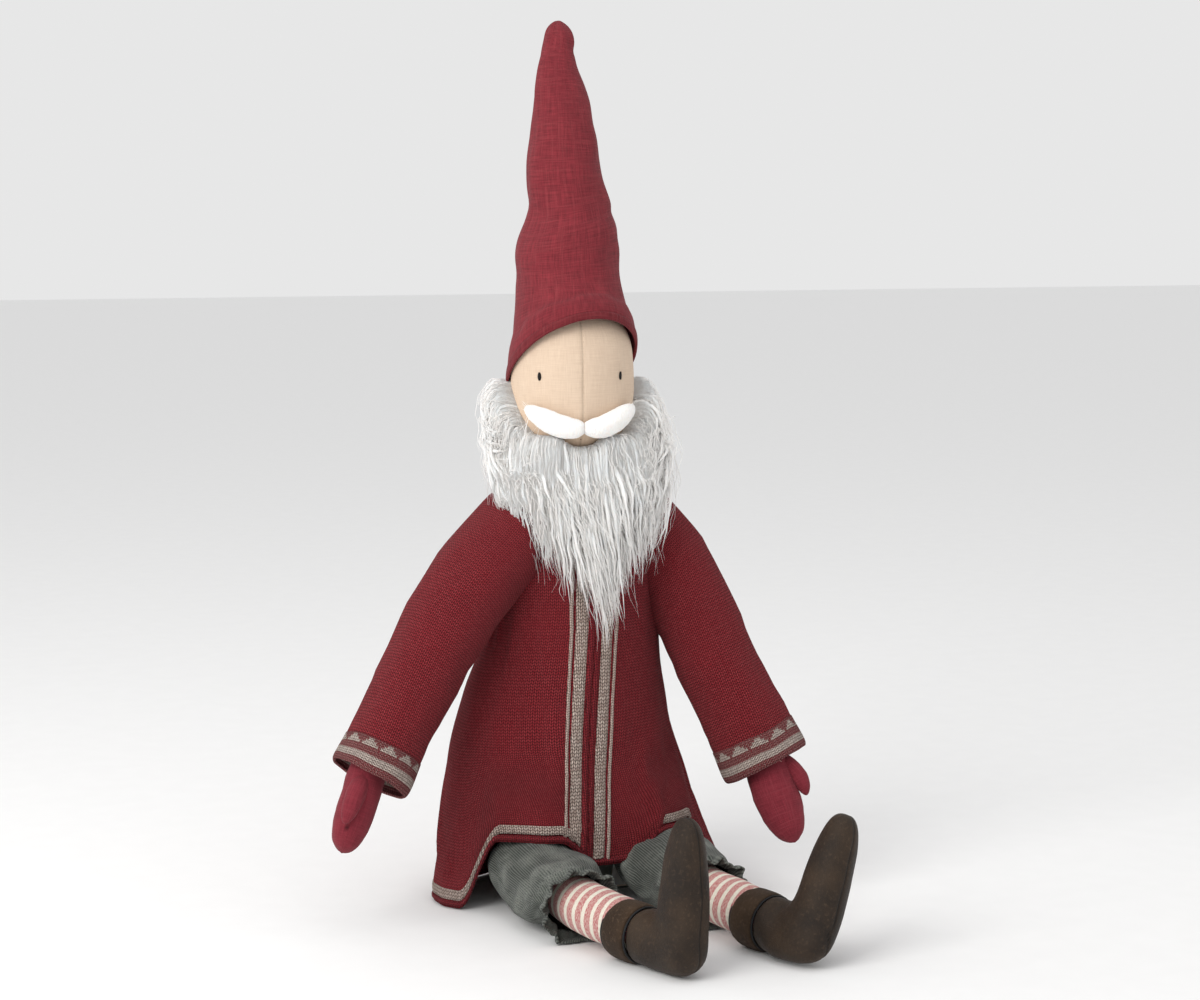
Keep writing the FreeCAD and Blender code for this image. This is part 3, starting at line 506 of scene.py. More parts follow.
# %% Striped stocking cloth
def striped(name, red, cream, repeat):
    material, tree, shader = recipe(name, 0.92, 0.15, 0.2)
    uv = cloth_map(tree)
    split = put(tree, "ShaderNodeSeparateXYZ", Vector=uv)
    place = calc(tree, "FRACT", calc(tree, "DIVIDE", split.outputs[1], repeat * MM))
    fuzz = put(tree, "ShaderNodeTexNoise", Vector=stretched(tree, uv, 1400, 1400), Scale=1.0).outputs["Fac"]
    ragged = calc(tree, "ADD", place, calc(tree, "MULTIPLY", calc(tree, "SUBTRACT", fuzz, 0.5), 0.12))
    is_cream = put(tree, "ShaderNodeMapRange", _0=ragged, _1=0.60, _2=0.66).outputs[0]
    threads = speckle(tree, stretched(tree, uv, 500, 1900), 1.0, 2.0, 0.35, 0.65)
    mottled = blend_colour(tree, calc(tree, "MULTIPLY", threads, 0.55), red, cream)
    shaded = blend_colour(tree, threads, tuple(value * 0.82 for value in cream), cream)
    colour = blend_colour(tree, is_cream, mottled, shaded)
    tree.links.new(colour, shader.inputs["Base Color"])
    relief(tree, shader, threads, 0.2)
    return material


striped_sock = striped("striped_sock", (0.40, 0.060, 0.075), (0.80, 0.75, 0.64), 9.2)

# %% Nubuck boots, suede cuffs and waxed cord
def hide(name, dark, base, light, scale, depth, roughness):
    """Leather with a fine nap, cloudy colour and lighter rubbed patches."""
    material, tree, shader = recipe(name, roughness, 0.03, 0.25)
    spot = object_map(tree)
    nap = speckle(tree, spot, scale, 4.0, 0.35, 0.65)
    clouds = speckle(tree, spot, 38.0, 4.0, 0.35, 0.7)
    rubbed = speckle(tree, spot, 420.0, 3.0, 0.55, 0.75)
    colour = blend_colour(tree, clouds, dark, base)
    colour = blend_colour(tree, calc(tree, "MULTIPLY", rubbed, 0.5), colour, light)
    colour = blend_colour(tree, calc(tree, "MULTIPLY", nap, 0.3), colour, dark)
    tree.links.new(seam_shade(tree, colour, tuple(value * 0.2 for value in dark)),
                   shader.inputs["Base Color"])
    relief(tree, shader, nap, depth)
    return material


boot_leather = hide("boot_leather", (0.014, 0.008, 0.0045), (0.043, 0.025, 0.013), (0.09, 0.056, 0.033),
                    1500, 0.18, 0.55)
corduroy_inside = hide("corduroy_inside", (0.05, 0.055, 0.048), (0.11, 0.115, 0.10), (0.2, 0.21, 0.19),
                       900, 0.2, 0.9)
suede = hide("suede", (0.030, 0.017, 0.009), (0.062, 0.036, 0.019), (0.12, 0.075, 0.048), 1300, 0.2, 0.88)
black_cord = hide("black_cord", (0.004, 0.004, 0.005), (0.008, 0.008, 0.009), (0.02, 0.02, 0.022),
                  2200, 0.1, 0.5)
black_thread = hide("black_thread", (0.006, 0.005, 0.005), (0.012, 0.010, 0.010), (0.04, 0.035, 0.035),
                    2600, 0.1, 0.6)
wine_thread = hide("wine_thread", (0.12, 0.012, 0.015), (0.22, 0.028, 0.032), (0.33, 0.07, 0.07),
                   2600, 0.1, 0.7)
seam_thread = hide("seam_thread", (0.42, 0.32, 0.23), (0.60, 0.47, 0.35), (0.72, 0.6, 0.48), 2600, 0.1, 0.8)

# %% Combed and felted wool
def wool(name, shade, base, scale, depth):
    material, tree, shader = recipe(name, 0.9, 0.35, 0.25)
    spot = object_map(tree)
    fibres = speckle(tree, stretched(tree, spot, scale, scale, scale * 0.25), 1.0, 4.0, 0.3, 0.7)
    tree.links.new(blend_colour(tree, fibres, shade, base), shader.inputs["Base Color"])
    relief(tree, shader, fibres, depth)
    shader.inputs["Subsurface Weight"].default_value = 0.6
    shader.inputs["Subsurface Radius"].default_value = (0.012, 0.010, 0.009)
    shader.inputs["Subsurface Scale"].default_value = 1.0
    return material


beard_wool = wool("beard_wool", (0.93, 0.90, 0.87), (0.985, 0.97, 0.95), 500, 0.2)
felt_wool = wool("felt_wool", (0.90, 0.86, 0.83), (0.97, 0.95, 0.93), 900, 0.4)
filling = wool("filling", (0.7, 0.7, 0.67), (0.85, 0.84, 0.80), 300, 0.3)
floor_paint = hide("floor_paint", (0.87, 0.87, 0.87), (0.885, 0.885, 0.885), (0.89, 0.89, 0.89),
                   60, 0.01, 0.9)
floor.data.materials.append(floor_paint)


def dress(piece, material, slot, body, *nodes):
    """Give a finished piece its finish, its body and the frame nodes that it stands for."""
    piece.data.materials.clear()
    piece.data.materials.append(material)
    if body:
        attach(piece, body)
    if nodes:
        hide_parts(*nodes)
    print(piece.name, "has", len(piece.data.polygons), "faces")

# %% [markdown]
# ## Threads, hair and stitches
# Thin things are curves with a round section, thick at the root and thin at the tip.
# All hairs of one piece share one curve object, which is then converted to a mesh.

# %% Many curves turned to one mesh
def threads(name, paths, thickness, turns=1, round_steps=1):
    """Each path is a list of (point, share of the thickness); lengths are in millimetres."""
    data = bpy.data.curves.new(name, "CURVE")
    data.dimensions = "3D"
    data.bevel_depth = thickness / 2 * MM
    data.bevel_resolution = round_steps
    data.resolution_u = turns
    data.use_fill_caps = True
    for path in paths:
        spline = data.splines.new("NURBS")
        spline.points.add(len(path) - 1)
        for place, (point, share) in zip(spline.points, path):
            place.co = (*(Vector(point) * MM), 1)
            place.radius = share
        spline.order_u = min(3, len(path))
        spline.use_endpoint_u = True
    curve = bpy.data.objects.new(name, data)
    bpy.context.scene.collection.objects.link(curve)
    only(curve)
    bpy.ops.object.convert(target="MESH")
    bpy.ops.object.shade_smooth()
    return bpy.context.object


# %% [markdown]
# ## Head
# The head is two halves of cotton sewn together down the face and stuffed hard, so it is smooth.
# A stack of circles gives the egg shape; the seam, the small nose and the dents where thread pulls
# the eyes in are pushed into the points afterwards.

# %% Head shape
HEAD_TURN = math.radians(-13.5)
HEAD_MIDDLE = Vector((-2.5, -2, 0))
EYE_TURN = math.radians(42)
EYE_HEIGHT = 406
NOSE_HEIGHT = 377


def on_head(point):
    """A point given in the head's own turned frame."""
    return Matrix.Rotation(HEAD_TURN, 3, "Z") @ Vector(point) + HEAD_MIDDLE


head = tube("head", [
    flat_ring(0, 0, 344, 20, 19), flat_ring(0, 0, 349, 33, 32), flat_ring(0, 0, 360, 42, 41),
    flat_ring(0, 0, 379, 47.2, 46.2), flat_ring(0, 0, 405, 48.4, 47.6), flat_ring(0, 0, 432, 46, 46),
    flat_ring(0, 0, 450, 37, 37), flat_ring(0, 0, 462, 19, 19)], 64, (True, True), 2)


def head_rule(point):
    radial = Vector((point.x, point.y, 0)).normalized()
    front = point.y < 0
    if front:
        groove = math.exp(-(point.x / 1.1) ** 2) * smoothstep(350, 358, point.z)
        nose = math.exp(-(point.x / 7) ** 2 - ((point.z - NOSE_HEIGHT) / 9) ** 2)
        point = point + radial * (2.6 * nose - 0.65 * groove)
        for side in (-1, 1):
            eye = Vector((math.sin(EYE_TURN) * 47.5 * side, -math.cos(EYE_TURN) * 47.5, EYE_HEIGHT))
            pull = math.exp(-((point - eye).length / 5.5) ** 2)
            line = Vector((point.x - eye.x, 0, point.z - eye.z))
            crease = math.exp(-((line.x * side - 5) / 2.2) ** 2 - (line.z / 22) ** 2) * 0.9
            point = point - radial * (1.3 * pull + crease)
    return on_head(point + radial * 0.35 * grain(point, 16, 3))


mark_seam(head, lambda point: math.exp(-(point.x / 0.5) ** 2) * 0.35)
move_points(head, head_rule)
dress(head, face_cotton, "face_cotton", TORSO, "head_cover_left", "head_cover_right", "head_stuffing")

# %% Embroidery: seam stitches, eyes and mouth
def head_skin(angle, height, above=0.0):
    """A point on the face at an angle from its middle, a distance above the skin."""
    share = min(max((height - 344) / 35, 0.0), 1.0)
    reach = 47.3 * math.sin(math.pi / 2 * share) ** 0.45 + above
    if height > 432:
        reach -= (height - 432) ** 2 / 36
    return on_head((math.sin(angle) * reach, -math.cos(angle) * reach, height))


STITCH_STEP = 2.4
seam_paths = []
for step in range(38):
    low = 362 + step * STITCH_STEP
    side = 0.012 if step % 2 else -0.012
    bulge = 2.6 * math.exp(-((low - NOSE_HEIGHT) / 9) ** 2)
    seam_paths.append([(head_skin(side, low, bulge - 0.1), 0.8),
                       (head_skin(side, low + 0.8, bulge + 0.25), 1.0),
                       (head_skin(side, low + 1.5, bulge - 0.1), 0.8)])
face_seam = threads("face_seam", seam_paths, 0.36)
dress(face_seam, seam_thread, "face_cotton", TORSO)

EYE_HALF_HIGH = 2.7
for name, side in SIDES.items():
    paths = []
    for step in range(11):
        lift = (step - 5) / 5 * EYE_HALF_HIGH
        half = 0.030 * math.sqrt(max(1 - (step - 5) ** 2 / 31, 0.05))
        turn = side * EYE_TURN
        paths.append([(head_skin(turn - half, EYE_HEIGHT + lift, -0.9), 0.8),
                      (head_skin(turn, EYE_HEIGHT + lift + 0.15, 0.45), 1.0),
                      (head_skin(turn + half, EYE_HEIGHT + lift, -0.9), 0.8)])
    eye = threads(name + "_eye_embroidery", paths, 0.95, 3, 2)
    dress(eye, black_thread, "black_thread", TORSO, name + "_eye")

MOUTH_HEIGHT = 358.5
paths = []
for step in range(5):
    middle_turn = math.radians((step - 2) * 3.6)
    half = math.radians(2.6)
    drop = 0.5 * abs(step - 2)
    height = MOUTH_HEIGHT + drop
    paths.append([(head_skin(middle_turn - half, height, -0.3), 0.8),
                  (head_skin(middle_turn, height - 0.4, 1.0), 1.0),
                  (head_skin(middle_turn + half, height, -0.3), 0.8)])
mouth = threads("mouth_embroidery", paths, 1.1, 3, 2)
dress(mouth, wine_thread, "wine_thread", TORSO, "mouth_stitch")

# %% [markdown]
# ## Moustache and beard
# The moustache is two needle-felted rolls. The beard is combed sheep's wool: locks that start along
# the jaw from ear to ear, stand out a little and then fall to thin tips. Real hair particles are
# lost in an export, so each lock is a thin tapered tube, gathered in clumps with gaps between.

# %% Moustache
def moustache_path(side, share):
    """Middle line of one roll: share runs from the nose to the outer tip."""
    angle = side * math.radians(-0.6 + 53 * share)
    share = max(share, 0.0)
    height = 369 - 2.5 * math.sin(math.pi * min(share * 1.6, 1)) + 14 * share ** 2.0
    return on_head((math.sin(angle) * 52.5, -math.cos(angle) * 52.5, height))


MOUSTACHE_SIZES = ((0, 2.8), (0.03, 5.2), (0.13, 7.8), (0.34, 9.2), (0.56, 9.0), (0.76, 7.4), (0.92, 4.9),
                   (1, 1.8))
random.seed(4)
for name, side in SIDES.items():
    rings = []
    for share, radius in MOUSTACHE_SIZES:
        here = moustache_path(side, share)
        run = (moustache_path(side, share + 0.02) - moustache_path(side, share - 0.02)).normalized()
        lift = Vector((0, 0, 1))
        across = run.cross(lift).normalized()
        rings.append(ring(here, across, run.cross(across) * -1, radius * 0.92, radius))
    roll = tube("moustache_" + name + "_roll", rings, 24, (True, True), 2)
    move_points(roll, uneven(5, (1, 2, 3), 0.5))
    dress(roll, felt_wool, "white_wool", TORSO, "moustache_" + name)
    paths = []
    for hair in range(260):
        share = random.uniform(0.02, 0.98)
        around = random.uniform(0, 2 * math.pi)
        base = moustache_path(side, share)
        level_way = Vector((base.x, base.y + 2, 0)).normalized()
        outward = level_way * math.cos(around) + Vector((0, 0, 1)) * math.sin(around)
        radius = 6.6 * math.sin(math.pi * min(max(share, 0.1), 0.93)) ** 0.6
        run = (moustache_path(side, share + 0.02) - moustache_path(side, share - 0.02)).normalized()
        start = base + outward * (radius - 0.6)
        paths.append([(start, 1), (start + outward * 0.9 + run * random.uniform(1, 3), 0.8),
                      (start + outward * random.uniform(0.6, 1.8) + run * random.uniform(2.5, 6), 0.3)])
    fuzz = threads("moustache_" + name + "_fuzz", paths, 0.22, 2, 0)
    dress(fuzz, felt_wool, "white_wool", TORSO)

# %% Beard locks
BEARD_SWEEP = math.radians(101)
BEARD_TIP = 204


def jaw_root(angle, layer):
    """Where hair is sewn on: under the mouth in front, up to the ears at the sides."""
    turn = abs(math.degrees(angle))
    height = 351.5 + 8 * smoothstep(8, 26, turn) + 40 * smoothstep(48, 98, turn) - layer * 4
    reach = 33 + 9 * smoothstep(345, 360, height) + 5 * smoothstep(360, 380, height)
    return Vector((math.sin(angle) * reach, -math.cos(angle) * reach, height))


def lock_path(angle, layer, end, jitter):
    root = jaw_root(angle, layer)
    out = Vector((math.sin(angle), -math.cos(angle), 0))
    puff = 12 + 7 * abs(math.sin(angle)) ** 2 - 2.6 * layer + jitter.x * 2
    first = root + out * puff * 0.8 + Vector((0, 0, 3 + 3 * abs(math.sin(angle))))
    second = root + out * puff + Vector((jitter.y * 2, 0, -26 + jitter.z * 5))
    goal = Vector(end) + jitter * 3
    third = Vector((second.x + (goal.x - second.x) * 0.14, second.y + (goal.y - second.y) * 0.45,
                    second.z + (goal.z - second.z) * 0.36))
    third += out * 4 + jitter * 2.5
    fourth = Vector((second.x + (goal.x - second.x) * 0.52, second.y + (goal.y - second.y) * 0.8,
                     second.z + (goal.z - second.z) * 0.70))
    fourth += out * 2 + jitter * 2
    points = [root, first, second, third, fourth, goal]
    for point in points[2:]:
        clear = -58 * math.sqrt(max(1 - (point.x / 80) ** 2, 0.02))
        if point.z < 335:
            point.y = min(point.y, clear)
    return points


LOCK_SHARES = (0.8, 1.0, 1.0, 0.85, 0.5, 0.06)
FLYAWAY_SHARES = (1, 1, 1, 0.9, 0.7, 0.2)
random.seed(11)
lock_paths = []
flyaway_paths = []
CLUMPS = 54
for clump in range(CLUMPS):
    spread = (clump + 0.5) / CLUMPS * 2 - 1
    side = math.copysign(abs(spread) ** 0.9, spread)
    centre = side * BEARD_SWEEP
    swing = math.sin(centre)
    far = abs(swing)
    tip_x = 12 + (40 if swing > 0 else 68) * swing + random.uniform(-4, 4)
    tip_z = BEARD_TIP + (70 * far ** 1.3 if swing > 0 else 98 * far) + random.uniform(-2, 42)
    tip = Vector((tip_x, -67 + (25 * far ** 2 if swing > 0 else 46 * far ** 1.6), tip_z))
    for layer in range(3):
        for strand in range(7):
            angle = centre + random.gauss(0, 0.045)
            jitter = Vector([random.gauss(0, 0.75) for axis in range(3)])
            end = tip + Vector((random.gauss(0, 1.6), random.gauss(0, 1.5), random.uniform(-6, 34)))
            points = lock_path(angle, layer, end, jitter)
            lock_paths.append([(on_head(point), share) for point, share in zip(points, LOCK_SHARES)])
    for strand in range(26):
        angle = centre + random.gauss(0, 0.07)
        jitter = Vector([random.gauss(0, 1.5) for axis in range(3)])
        end = tip + Vector((random.gauss(0, 6), random.gauss(0, 4), random.uniform(-10, 60)))
        points = lock_path(angle, random.choice((0, 1)), end, jitter)
        flyaway_paths.append([(on_head(point), share) for point, share in zip(points, FLYAWAY_SHARES)])
beard = threads("beard_locks", lock_paths, 3.1, 3, 1)
move_points(beard, uneven(11, (5, 6, None), 1.8))
dress(beard, beard_wool, "white_wool", TORSO, "beard")
flyaways = threads("beard_flyaways", flyaway_paths, 0.5, 4, 0)
move_points(flyaways, uneven(10, (7, 8, None), 3.4))
dress(flyaways, beard_wool, "white_wool", TORSO)

# %% [markdown]
# ## Hat
# One piece of linen sewn to a tall cone, with its edge turned in. The edge sits tilted on the head,
# so the lowest circles lean back and straighten as they climb. A light filling holds it up, and
# the cloth sags to a fold above the head and to a small knob at the tip.

# %% Hat shape
HAT_ROWS = [
    (-2.5, -1, 411, 50.2, 63, 38, 0), (-2.5, -1, 420, 50.2, 60.5, 35.5, 0),
    (-2.5, -0.5, 431, 49.2, 56.5, 31, 0),
    (-3, 1, 446, 47.2, 51, 22, 0), (-2, 4, 461, 44.5, 45.5, 12, 0), (-2.5, 6.5, 477, 42, 42, 4, -2),
    (-2, 9, 492, 41, 40.5, 0, -5), (-2, 11, 507, 41.5, 40.5, 0, -9), (-0.5, 12, 520, 39.5, 39, 0, -13),
    (0.5, 12.5, 531, 34.5, 35, 0, -12), (-0.5, 13, 541, 31.4, 32.5, 0, -7), (-2, 14, 556, 30.6, 31, 0, -2),
    (-2.5, 14.5, 572, 29, 29, 2, 0), (-2.5, 15.5, 590, 26.6, 26.6, 3, 0), (-2.5, 17, 608, 23.6, 23.6, 4, 0),
    (-3, 18.5, 625, 20.5, 20.5, 4, 0), (-4, 20, 640, 16.8, 16.8, 5, 4), (-4.5, 21, 652, 13.4, 13.6, 5, 6),
    (-2, 21.5, 661, 12.6, 12.4, 5, 14), (-2, 22, 669, 10.4, 10.4, 6, 10), (-3, 22.5, 675, 7.2, 7.2, 6, 5),
    (-3.5, 22.5, 679, 2.6, 2.6, 6, 0)]
hat = tube("hat", [flat_ring(*row) for row in HAT_ROWS], 40, (False, True), 1)


def hat_folds(point):
    """Slack cloth: a few long soft dents, and a sharper fold above the head."""
    axis = Vector((-1, 2 + (point.z - 411) * 0.085, point.z))
    radial = (point - axis).normalized()
    turn = math.atan2(point.y - axis.y, point.x - axis.x)
    free = smoothstep(440, 500, point.z)
    slack = 1.9 * grain((turn * 16, point.z * 0.35, 3), 11) + 1.2 * grain((turn * 26, point.z * 1.1, 9), 13)
    fold = -2.2 * math.exp(-((point.z - 534 - 6 * math.sin(turn)) / 4.5) ** 2)
    notch = -3.2 * math.exp(-((point.z - 656) / 2.6) ** 2) * smoothstep(0.2, 0.9, radial.x)
    return point + radial * (free * (slack + fold) + notch)


move_points(hat, hat_folds)
inflate(hat, 1.2, 0.012, 3.0, lambda point: point.z < 440 - point.y * 0.8 - 6, 16, 8, 0.15)
finish_with(hat, "SUBSURF", levels=1, render_levels=1)
wall(hat, LINEN_THICK)
dress(hat, hat_linen, "hat_linen", TORSO, "hat_cover", "hat_stuffing")

# %% Turned hem of the hat
hem_rows = [(-2.5, -1, 410.2, 50.7, 63.7, 38.2, 0), (-2.5, -1, 413, 51.1, 64, 37.6, 0),
            (-2.5, -1, 417, 51.1, 62.7, 36.6, 0),
            (-2.5, -1, 419.5, 50.6, 61.2, 35.8, 0)]
hat_hem = tube("hat_turned_hem", [flat_ring(*row) for row in hem_rows], 96, (False, False), 1)
move_points(hat_hem, lambda point: point + Vector((0, 0, 0.35 * grain(point, 9, 2))))
wall(hat_hem, 1.6)
dress(hat_hem, shaded_hem_linen, "hat_linen", TORSO, "hat_hem")

# %% [markdown]
# ## Jacket body
# The jacket is knitted in wool from the hem up, with its stitches straight up and down and all its
# shaping at the sides. It hangs from the neck as a wide bell: behind and at the sides it stands on
# the floor, and in front the two thighs lift its edge. A stack of circles gives the bell, and a
# rule for each point then drapes it, so that the hem and the bands can be draped by the same rule.

# %% Jacket body
JACKET_ROWS = [
    (4, 0, 2, 120, 69), (2, 0, 22, 118, 68.5), (-1, 0, 45, 114, 67), (-6, 0, 75, 105, 65),
    (-11, 0, 106, 97, 61), (-14, 0, 137, 90, 57.5), (-11, 0, 169, 82, 54), (-5, -1, 200, 73, 51),
    (0, -2, 232, 67, 49), (0, -3, 262, 64, 47.5), (0, -3, 285, 61, 45), (0, -2, 303, 54, 42),
    (0, -1, 318, 46, 39.5), (0, -1, 329, 40, 37.5), (0, -1, 336, 37.5, 36)]


def jacket_row(height, bigger=0.0):
    """The jacket's level circle at a height, read between the rows above."""
    for low, high in zip(JACKET_ROWS, JACKET_ROWS[1:]):
        if height <= high[2]:
            share = (height - low[2]) / (high[2] - low[2])
            x, y, z, half_x, half_y = (a + (b - a) * share for a, b in zip(low, high))
            return flat_ring(x, y, z, half_x + bigger, half_y + bigger)
    return flat_ring(*JACKET_ROWS[-1][:3], JACKET_ROWS[-1][3] + bigger, JACKET_ROWS[-1][4] + bigger)


HEM_MIDDLE = 36
HEM_ON_THIGH = 57


def drape(point):
    """Lift the front edge over the thighs and add the slow folds of heavy knitting."""
    reach = abs(point.x - 2)
    hem = HEM_MIDDLE + (HEM_ON_THIGH - HEM_MIDDLE) * smoothstep(14, 44, reach)
    over_thighs = 1 - smoothstep(86, 110, reach + (12 if point.x > 0 else 0))
    in_front = 1 - smoothstep(-38, 4, point.y)
    hem = 2 + (hem - 2) * over_thighs * in_front
    low = 1 - smoothstep(0, 130, point.z - 2)
    lifted = point.z + (hem - 2) * low
    middle = Vector((0, 0, point.z))
    out = (point - middle).normalized()
    loose = 1 - smoothstep(150, 300, point.z)
    fold = 3.4 * grain((point.x, point.y, point.z * 0.28), 34, 21)
    fold += 1.5 * grain((point.x, point.y, point.z * 0.4), 15, 5)
    over = 7 * math.exp(-((reach - 46) / 26) ** 2) * low * (1 - smoothstep(-50, -10, point.y))
    moved = point + out * fold * (0.35 + 0.65 * loose)
    return Vector((moved.x, moved.y - over, lifted))


jacket = tube("jacket_body", [flat_ring(*row) for row in JACKET_ROWS], 48, (False, False), 2, 0.75)
move_points(jacket, drape)
inflate(jacket, 0.0, 0.0, 4.0,
        lambda point: point.z > 262 or point.z < 20 or abs(point.x) < 22 and point.y < 0, 12, 15, 0.25)
skin = bmesh.new()
skin.from_mesh(jacket.data)
print("jacket body cloth", round(sum(face.calc_area() for face in skin.faces), 4), "square metres")
surface = BVHTree.FromBMesh(skin)
skin.free()
wall(jacket, KNIT_THICK)
dress(jacket, red_knit, "red_knit", TORSO, "jacket_back", "jacket_front_left", "jacket_front_right")

# %% Hem: a cream row and a red rolled edge
hem_rings = [jacket_row(7 + step * 1.6, 0.5 + 0.5 * math.sin(math.pi * step / 5)) for step in range(6)]
hem_band = tube("hem_cream_row", hem_rings, 96, (False, False), 1, 0.75)
HEM_TUCK = 3.2


def tuck(point):
    """In front the patterned row is turned under, so that only the plain edge shows."""
    out = Vector((point.x, point.y, 0)).normalized()
    in_front = 1 - smoothstep(-46, -20, point.y)
    over_thighs = 1 - smoothstep(84, 100, abs(point.x))
    return point - out * HEM_TUCK * in_front * over_thighs


move_points(hem_band, lambda point: tuck(drape(point)))
wall(hem_band, 1.0)
dress(hem_band, moss_knit, "nordic_knit", TORSO, "jacket_hem")
hem_roll = tube("hem_red_edge", [jacket_row(height, bigger) for height, bigger in (
    (6.4, 0.1), (6.0, 1.1), (4.0, 1.6), (2.2, 1.2), (1.6, 0.0), (2.0, -1.6))], 96, (False, False), 1, 0.75)
move_points(hem_roll, drape)
wall(hem_roll, 1.0)
dress(hem_roll, rib_red, "red_knit", TORSO)

# %% [markdown]
# ## Front bands
# Along each front edge runs a narrow smooth stripe, a groove and a broad band of moss stitch; two
# red ribs meet in the middle where the fronts are closed. Each is a long strip that is laid on the
# jacket by casting a ray from the front at each of its points.

# %% Strips laid on the jacket
def laid_strip(name, low_x, high_x, bottom, top, lift):
    """A rounded strip from side to side and bottom to top, a little above the jacket.

    A fault: where a ray passes under the lifted hem it meets the jacket's back, and the strip goes there.
    """
    columns, rows = 7, int((top - bottom) / 2.5)
    deselect()
    bpy.ops.mesh.primitive_grid_add(x_subdivisions=columns - 1, y_subdivisions=rows - 1, size=1)
    strip = bpy.context.object
    strip.name = name
    strip.data.name = name
    uv = strip.data.uv_layers.active
    uv.name = "cloth"
    places = {}
    for vertex in strip.data.vertices:
        side, climb = vertex.co.x + 0.5, vertex.co.y + 0.5
        z = bottom + (top - bottom) * climb
        x = front_middle(z) + low_x + (high_x - low_x) * side
        hit = surface.ray_cast(Vector((x, -300, z)) * MM, Vector((0, 1, 0)))[0]
        y = hit.y / MM if hit else -50
        arch = math.sqrt(max(1 - (2 * side - 1) ** 2, 0))
        places[vertex.index] = (x, z)
        vertex.co = Vector((x, y - lift * arch + 0.45 * (1 - arch), z)) * MM
    for loop in strip.data.loops:
        x, z = places[loop.vertex_index]
        uv.data[loop.index].uv = (x * MM, z * MM)
    only(strip)
    bpy.ops.object.mode_set(mode="EDIT")
    bpy.ops.mesh.select_all(action="SELECT")
    bpy.ops.mesh.normals_make_consistent(inside=False)
    bpy.ops.object.mode_set(mode="OBJECT")
    if strip.data.polygons[0].normal.y > 0:
        strip.data.flip_normals()
    wall(strip, 0.9)
    finish_with(strip, "SUBSURF", levels=1, render_levels=1)
    bpy.ops.object.shade_smooth()
    return strip


BAND_TOP = 334


def front_middle(height):
    """The closed fronts drift to the gnome's right as they go down."""
    if height > 215:
        return -4.5 * (1 - smoothstep(215, 330, height))
    return -4.5 - 17 * (215 - height) / 180


for name, side in SIDES.items():
    for part, near, far, low, lift, material, slot, stands_for in (
            ("rib", 0.3, 4.7, 36, 1.7, rib_red, "red_knit", ()),
            ("moss_band", 4.9, 15.6, 35.5, 1.7, moss_knit, "nordic_knit", ("front_band_" + name,)),
            ("edge_stripe", 16.6, 19.8, 36.5, 1.5, cream_knit, "nordic_knit", ())):
        ends = sorted((side * near, side * far))
        strip = laid_strip(name + "_front_" + part, *ends, low, BAND_TOP, lift)
        dress(strip, material, slot, TORSO, *stands_for)

# %% [markdown]
# ## Patterned knitting for cuffs and collar
# A cuff has a red edge, a cream band, a red gap and a row of small cream peaks. The pattern is worked
# out stitch by stitch: the UV map is cut into cells of one stitch, and each cell has one colour.

# %% Patterned knitting
def patterned(name, red, cream, edge, band, peak_start, pitch, peak):
    """Lengths are in millimetres from the cuff's edge."""
    material, tree, shader = recipe(name, 0.95, 0.04, 0.1)
    uv = cloth_map(tree)
    split = put(tree, "ShaderNodeSeparateXYZ", Vector=uv)
    row = calc(tree, "FLOOR", calc(tree, "DIVIDE", split.outputs[1], 2.0 * MM))
    course = calc(tree, "MULTIPLY", row, 2.0)
    column = calc(tree, "FLOOR", calc(tree, "DIVIDE", split.outputs[0], 2.2 * MM))
    wale = calc(tree, "MULTIPLY", column, 2.2)
    place = calc(tree, "FRACT", calc(tree, "DIVIDE", wale, pitch))
    wave = calc(tree, "ABSOLUTE", calc(tree, "SUBTRACT", place, 0.5))
    slope = calc(tree, "SUBTRACT", 1.0, calc(tree, "MULTIPLY", wave, 2.0))
    top = calc(tree, "ADD", peak_start, calc(tree, "MULTIPLY", slope, peak))
    in_band = calc(tree, "MULTIPLY", calc(tree, "GREATER_THAN", course, edge),
                   calc(tree, "LESS_THAN", course, edge + band))
    in_peak = calc(tree, "MULTIPLY", calc(tree, "GREATER_THAN", course, peak_start - 1),
                   calc(tree, "LESS_THAN", course, top))
    is_cream = calc(tree, "MAXIMUM", in_band, in_peak)
    height, chance = stitch_height(tree, uv, 2.2, 2.0)
    fibres = speckle(tree, stretched(tree, uv, 900, 2200), 1.0, 2.0, 0.4, 0.62)
    pale = blend_colour(tree, chance, cream, tuple(value * 0.62 for value in cream))
    colour = blend_colour(tree, is_cream, red, pale)
    colour = blend_colour(tree, calc(tree, "MULTIPLY", fibres, 0.3), colour, cream)
    shade = put(tree, "ShaderNodeMapRange", _0=height, _1=0.25, _2=0.9).outputs[0]
    colour = blend_colour(tree, shade, tuple(value * 0.15 for value in red), colour)
    tree.links.new(colour, shader.inputs["Base Color"])
    relief(tree, shader, calc(tree, "ADD", height, calc(tree, "MULTIPLY", fibres, 0.35)), 0.9)
    return material


NORDIC_RED = (0.235, 0.020, 0.030)
NORDIC_CREAM = (0.80, 0.68, 0.60)
cuff_knit = patterned("cuff_knit", NORDIC_RED, NORDIC_CREAM, 5.9, 6, 17.9, 15.4, 6.2)
collar_knit = patterned("collar_knit", NORDIC_RED, NORDIC_CREAM, 3.9, 2.2, 7.9, 11, 6.5)

